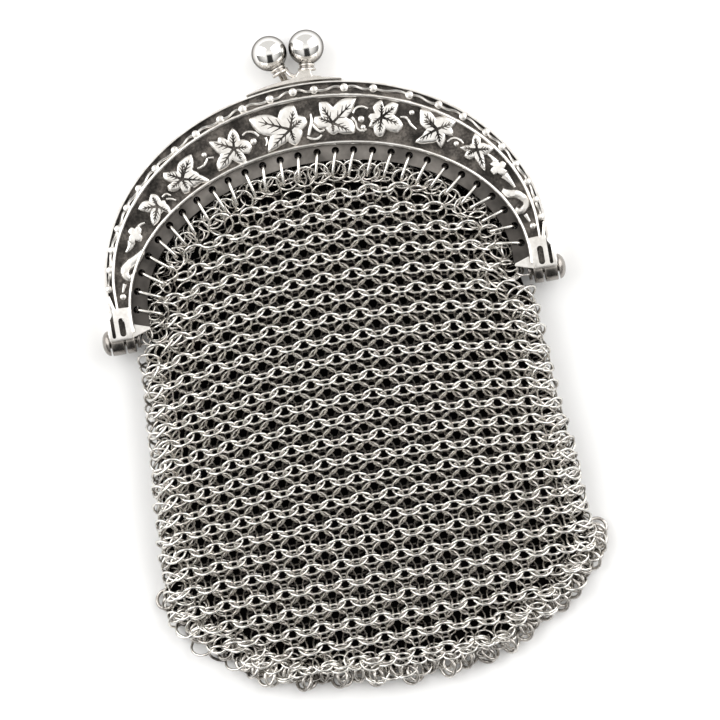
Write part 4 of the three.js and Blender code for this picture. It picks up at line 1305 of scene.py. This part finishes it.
def mouth_fill(chance):
    """The small, steep rings that fill the gap between the flange and the weave."""
    frames = []
    for outset, count, low in FILL_ROWS:
        for x, y in mouth_places(outset, count, chance):
            up = Vector((chance.gauss(0, 0.6), chance.gauss(0.6, 0.5), 0.8))
            place = at(x, y, low + chance.uniform(-0.4, 0.4))
            frames.append(oriented(place, Vector((1, 0.3, 0)), up, FILL_SIZE))
    return frames


SEAM_COUNT = 64
SEAM_SIZE = 0.86


def seam_fill(chance):
    """The crowded rings above the bottom seam."""
    frames = []
    for index in range(1, SEAM_COUNT):
        share = index / SEAM_COUNT * (len(fringe_places) - 1)
        low, part = int(share), share % 1
        x = fringe_places[low][0] * (1 - part) + fringe_places[low + 1][0] * part
        y = fringe_places[low][1] * (1 - part) + fringe_places[low + 1][1] * part
        inward = 0.7 + 1.5 * (index % 2) + chance.uniform(-0.3, 0.3)
        reach = math.hypot(x, y + 20)
        x, y = x - inward * x / reach, y - inward * (y + 20) / reach
        up = Vector((chance.gauss(0, 0.25), chance.gauss(0.85 * (1 if index % 2 else -1), 0.2), 1.0))
        frames.append(oriented(at(x, y, 2.1 + 0.7 * (index % 2)), Vector((1, 0, 0)), up, SEAM_SIZE))
    return frames


def mesh_rings():
    pattern = ring_pattern(RING_RADIUS, RING_WIRE, 14, 5)
    chance = random.Random(7)
    front = weave(1, FRONT_INSET, 0.0, B_DROP, True, chance, 0.7) + mouth_rings(1, chance) + seam_fill(chance)
    second = weave(1, SECOND_INSET, SECOND_SHIFT, SECOND_DROP, False, chance, 0.6) + mouth_fill(chance)
    back = weave(-1, BACK_INSET, 0.0, B_DROP, True, chance, 0.7) + mouth_rings(-1, chance)
    return (
        strew("front_mesh", pattern, front, RING_SILVER),
        strew("inner_mesh", pattern, second, INNER_SILVER),
        strew("back_mesh", pattern, back, RING_SILVER),
    )


LINING_RISE = 3.4
LINING_SPREAD = 3.4
LINING_INSET = 0.4
LINING_THICKNESS = 0.3


def gap_shade_sheet():
    """The dark cloth between the bag's panels, with shallow waves: a dark sheet put in as painted shade, for
    the dark seen through the gaps.
    """
    deselect()
    columns, rows = 48, 60
    bpy.ops.mesh.primitive_grid_add(x_subdivisions=columns, y_subdivisions=rows, size=1.0)
    piece = added("gap_shade_cloth", gap_shade_cloth())
    places = []
    for row in range(rows + 1):
        down = 0.99 * row / rows
        for column in range(columns + 1):
            angle = math.pi * (0.02 + 0.96 * column / columns)
            rise = math.sin(angle)
            top = -MOUTH_FOOT + (MOUTH_RISE + LINING_RISE) * rise
            bottom = -BAG_CORNER - (BAG_DROP + 0.7) * rise
            y = top + (bottom - top) * down
            half_width = bag_half_width(y) + LINING_SPREAD * min(max((y + 3) / 3, 0.0), 1.0)
            x = (half_width - LINING_INSET) * math.cos(angle)
            middle, half = bag_row(down)
            wave = 0.12 * math.sin(x * 0.5 + 1.3) * math.sin(y * 0.33)
            places.append(at(x, y, middle - 0.2 * half + wave * min(half, 1.0)))
    shape(piece, places)
    area = sum(face.area for face in piece.data.polygons)
    finish_with(piece, "SOLIDIFY", thickness=LINING_THICKNESS * MM, offset=0.0)
    return smooth(piece, 60.0), area


# Loops and fringe


def loop_pattern():
    """A long round-ended wire loop in the x-z plane, from the hole inwards along x."""
    around, sides = 20, 8
    deselect()
    bpy.ops.mesh.primitive_torus_add(
        major_segments=around, minor_segments=sides, major_radius=1.0, minor_radius=0.1
    )
    piece = bpy.context.object
    places = []
    for step in range(around):
        angle = 2 * math.pi * step / around
        flat, up = math.cos(angle), math.sin(angle)
        square = math.copysign(abs(flat) ** 0.6, flat)
        for corner in range(sides):
            turn = 2 * math.pi * corner / sides
            out = LOOP_WIRE * math.cos(turn)
            x = LOOP_LENGTH / 2 - LOOP_PAST_HOLE + square * (LOOP_LENGTH / 2 - LOOP_WIRE) + flat * out
            z = up * (LOOP_HEIGHT / 2 - LOOP_WIRE + out)
            places.append((x * MM, LOOP_WIRE * math.sin(turn) * MM, z * MM))
    shape(piece, places)
    return pattern_of(piece)


def loop_row(name, facing, chance):
    frames = []
    middle = (FLANGE_TOP + FLANGE_BOTTOM) / 2
    height = middle if facing > 0 else FRAME_DEPTH - middle
    for place, inward in hole_places:
        side = -0.16 + chance.gauss(0, 0.07)
        heading = Matrix.Rotation(side, 2) @ inward
        dip = chance.uniform(0.0, 0.06)
        run = Vector((heading.x, heading.y, -dip * facing))
        frames.append(oriented(at(place.x, place.y, height), run, Vector((0, 0, facing))))
    return strew(name, loop_pattern(), frames, LOOP_SILVER)


# Middles of the fringe's rings, from the left corner along the seam to the right one, in mm
fringe_places = [
    (-33.3, -41.0), (-31.4, -43.2), (-29.8, -46.1), (-27.9, -47.4), (-25.5, -50.2), (-22.7, -52.4),
    (-21.6, -53.8), (-19.8, -55.3), (-16.9, -55.3), (-14.1, -56.9), (-11.3, -56.2), (-8.6, -57.3),
    (-5.9, -57.0), (-3.1, -58.0), (-0.3, -57.4), (2.3, -58.6), (5.3, -57.4), (8.3, -58.4), (11.2, -57.5),
    (14.4, -57.5), (18.1, -56.4), (20.8, -54.7), (22.0, -53.2), (24.3, -52.2), (27.0, -51.2), (29.2, -49.4),
    (30.0, -48.3), (31.2, -46.9), (33.0, -45.5), (34.2, -43.2), (34.4, -41.4),
]
FRINGE_RADIUS = 1.5
FRINGE_WIRE = 0.3
FRINGE_Z = 1.35
FRINGE_TILT = 0.62


def fringe_row():
    """Three rings at each place of the seam, two of them side by side and one further in."""
    chance = random.Random(11)
    pattern = ring_pattern(FRINGE_RADIUS, FRINGE_WIRE, 20, 6)
    frames = []
    for index, (x, y) in enumerate(fringe_places):
        height = FRINGE_Z + (0.35 if index % 2 else 0.0)
        outward = Vector((x, y + 20, 0)).normalized()
        along = outward.cross(Vector((0, 0, 1)))
        for side, inward, size in ((1, 0.0, 1.0), (-1, 0.25, 0.96), (1, 1.3, 0.9)):
            tilt = side * (FRINGE_TILT + chance.gauss(0, 0.14))
            up = math.cos(tilt) * Vector((0, 0, 1)) + math.sin(tilt) * along
            up += outward * chance.gauss(0, 0.2)
            spot = Vector((x, y, height)) + along * side * 0.45 - outward * inward
            frames.append(oriented(at(*spot), outward, up, size))
    return strew("fringe_rings", pattern, frames, FRINGE_SILVER)


# The pieces


def ready(piece, slot, *nodes):
    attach(piece, "root")
    if nodes:
        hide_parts(*nodes)
    return piece


front_half = frame_half("front_frame_cast", carved_section, OUTER_KNUCKLE, True)
back_half = frame_half("back_frame_plain", plain_section, INNER_KNUCKLE, False)
turn_over = Matrix.Translation((0, 0, FRAME_DEPTH * MM)) @ Matrix.Diagonal((1, 1, -1, 1))
back_half.data.transform(turn_over)
edit(back_half, FACE_OUT)
smooth(back_half)
relief, veins = ornament(random.Random(3))
front_layer, second_layer, back_layer = mesh_rings()
cloth, cloth_area = gap_shade_sheet()

ready(front_half, "silver", "front_frame")
ready(back_half, "silver", "back_frame")
ready(relief, "silver")
ready(veins, "oxidised")
ready(rivet("left_rivet", -1), "silver", "left_hinge_pin")
ready(rivet("right_rivet", 1), "silver", "right_hinge_pin")
ready(front_clasp(), "polished", "front_clasp")
ready(back_clasp(), "polished", "back_clasp")
ready(front_layer, "silver", "mesh_bag")
ready(second_layer, "silver")
ready(back_layer, "silver")
ready(loop_row("front_loops", 1, random.Random(5)), "silver", "front_jump_rings")
ready(loop_row("back_loops", -1, random.Random(6)), "silver", "back_jump_rings")
ready(fringe_row(), "oxidised", "bottom_fringe")
ready(cloth, "lining", "lining")

# Floor, light and camera

FLOOR_SIZE = 3.0
deselect()
bpy.ops.mesh.primitive_plane_add(size=FLOOR_SIZE, location=(0, 0, -0.02 * MM))
floor_finish = Finish("pale_floor", Roughness=0.9, Base_Color=tone(0.97, 0.97, 0.97))
floor = added("floor", floor_finish.material)
floor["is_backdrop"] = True

world = bpy.data.worlds.new("studio")
world.use_nodes = True
sky = Tree(world.node_tree)
direction = sky.node("ShaderNodeTexCoord", output="Generated")


def sky_ramp(axis, stops):
    """The light or shade along one axis of the looking direction."""
    share = sky.along(direction, axis) * 0.5 + 0.5
    tones = [(0.5 + 0.5 * place, tone(shade, shade * 0.99, shade * 0.97)) for place, shade in stops]
    return sky.ramp(share, tones)


# Pale above, dark towards the studio's walls, with the camera's stand as a dark patch at the near side
dome = sky_ramp(2, [(0.0, 0.12), (0.25, 0.3), (0.55, 0.7), (0.8, 1.05), (1.0, 1.15)])
near = sky_ramp(1, [(-1.0, 1.0), (-0.26, 1.0), (-0.12, 0.0)])
beside = sky_ramp(0, [(-0.34, 0.0), (-0.26, 1.0), (0.26, 1.0), (0.34, 0.0)])
stand = sky.mix(1.0, near, beside, "MULTIPLY")
far = sky_ramp(1, [(0.1, 0.0), (0.4, 1.0)])
light = sky.mix(far, dome, tone(0.85, 0.84, 0.82))
light = sky.mix(stand, light, tone(0.02, 0.02, 0.02))
sky.feed(sky.tree.nodes["Background"].inputs["Color"], light)
bpy.context.scene.world = world


def soft_box(name, place, size, power, aim=(0.0, 0.0, 0.0)):
    light = bpy.data.lights.new(name, "AREA")
    light.shape = "RECTANGLE"
    light.size, light.size_y = size
    light.energy = power
    lamp = bpy.data.objects.new(name, light)
    lamp.location = place
    lamp.rotation_euler = (Vector(aim) - Vector(place)).to_track_quat("-Z", "Y").to_euler()
    bpy.context.collection.objects.link(lamp)


soft_box("left_box", (-0.5, 0.25, 0.36), (0.6, 0.8), 3.2)
soft_box("right_box", (0.5, 0.25, 0.36), (0.6, 0.8), 3.2)

# The photo looks straight down; the purse's right end is turned up by 9.8 degrees.
FIELD = 111.6 * MM
CAMERA_HEIGHT = 0.75
PHOTO_TURN = math.radians(9.8)
camera_data = bpy.data.cameras.new("camera")
camera_data.sensor_width = 36.0
camera_data.lens = 36.0 * (CAMERA_HEIGHT - FRAME_DEPTH * MM / 2) / FIELD
camera = bpy.data.objects.new("camera", camera_data)
view_middle = at(2.5, -9.1, 0.0)
camera.location = (view_middle.x, view_middle.y, CAMERA_HEIGHT)
camera.rotation_euler = (0.0, 0.0, -PHOTO_TURN)
bpy.context.collection.objects.link(camera)
bpy.context.scene.camera = camera
bpy.context.scene.view_settings.view_transform = "Standard"

boxes = {"cad": cad_box, "visual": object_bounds()}
plain = {name: [[float(value) for value in corner] for corner in box] for name, box in boxes.items()}
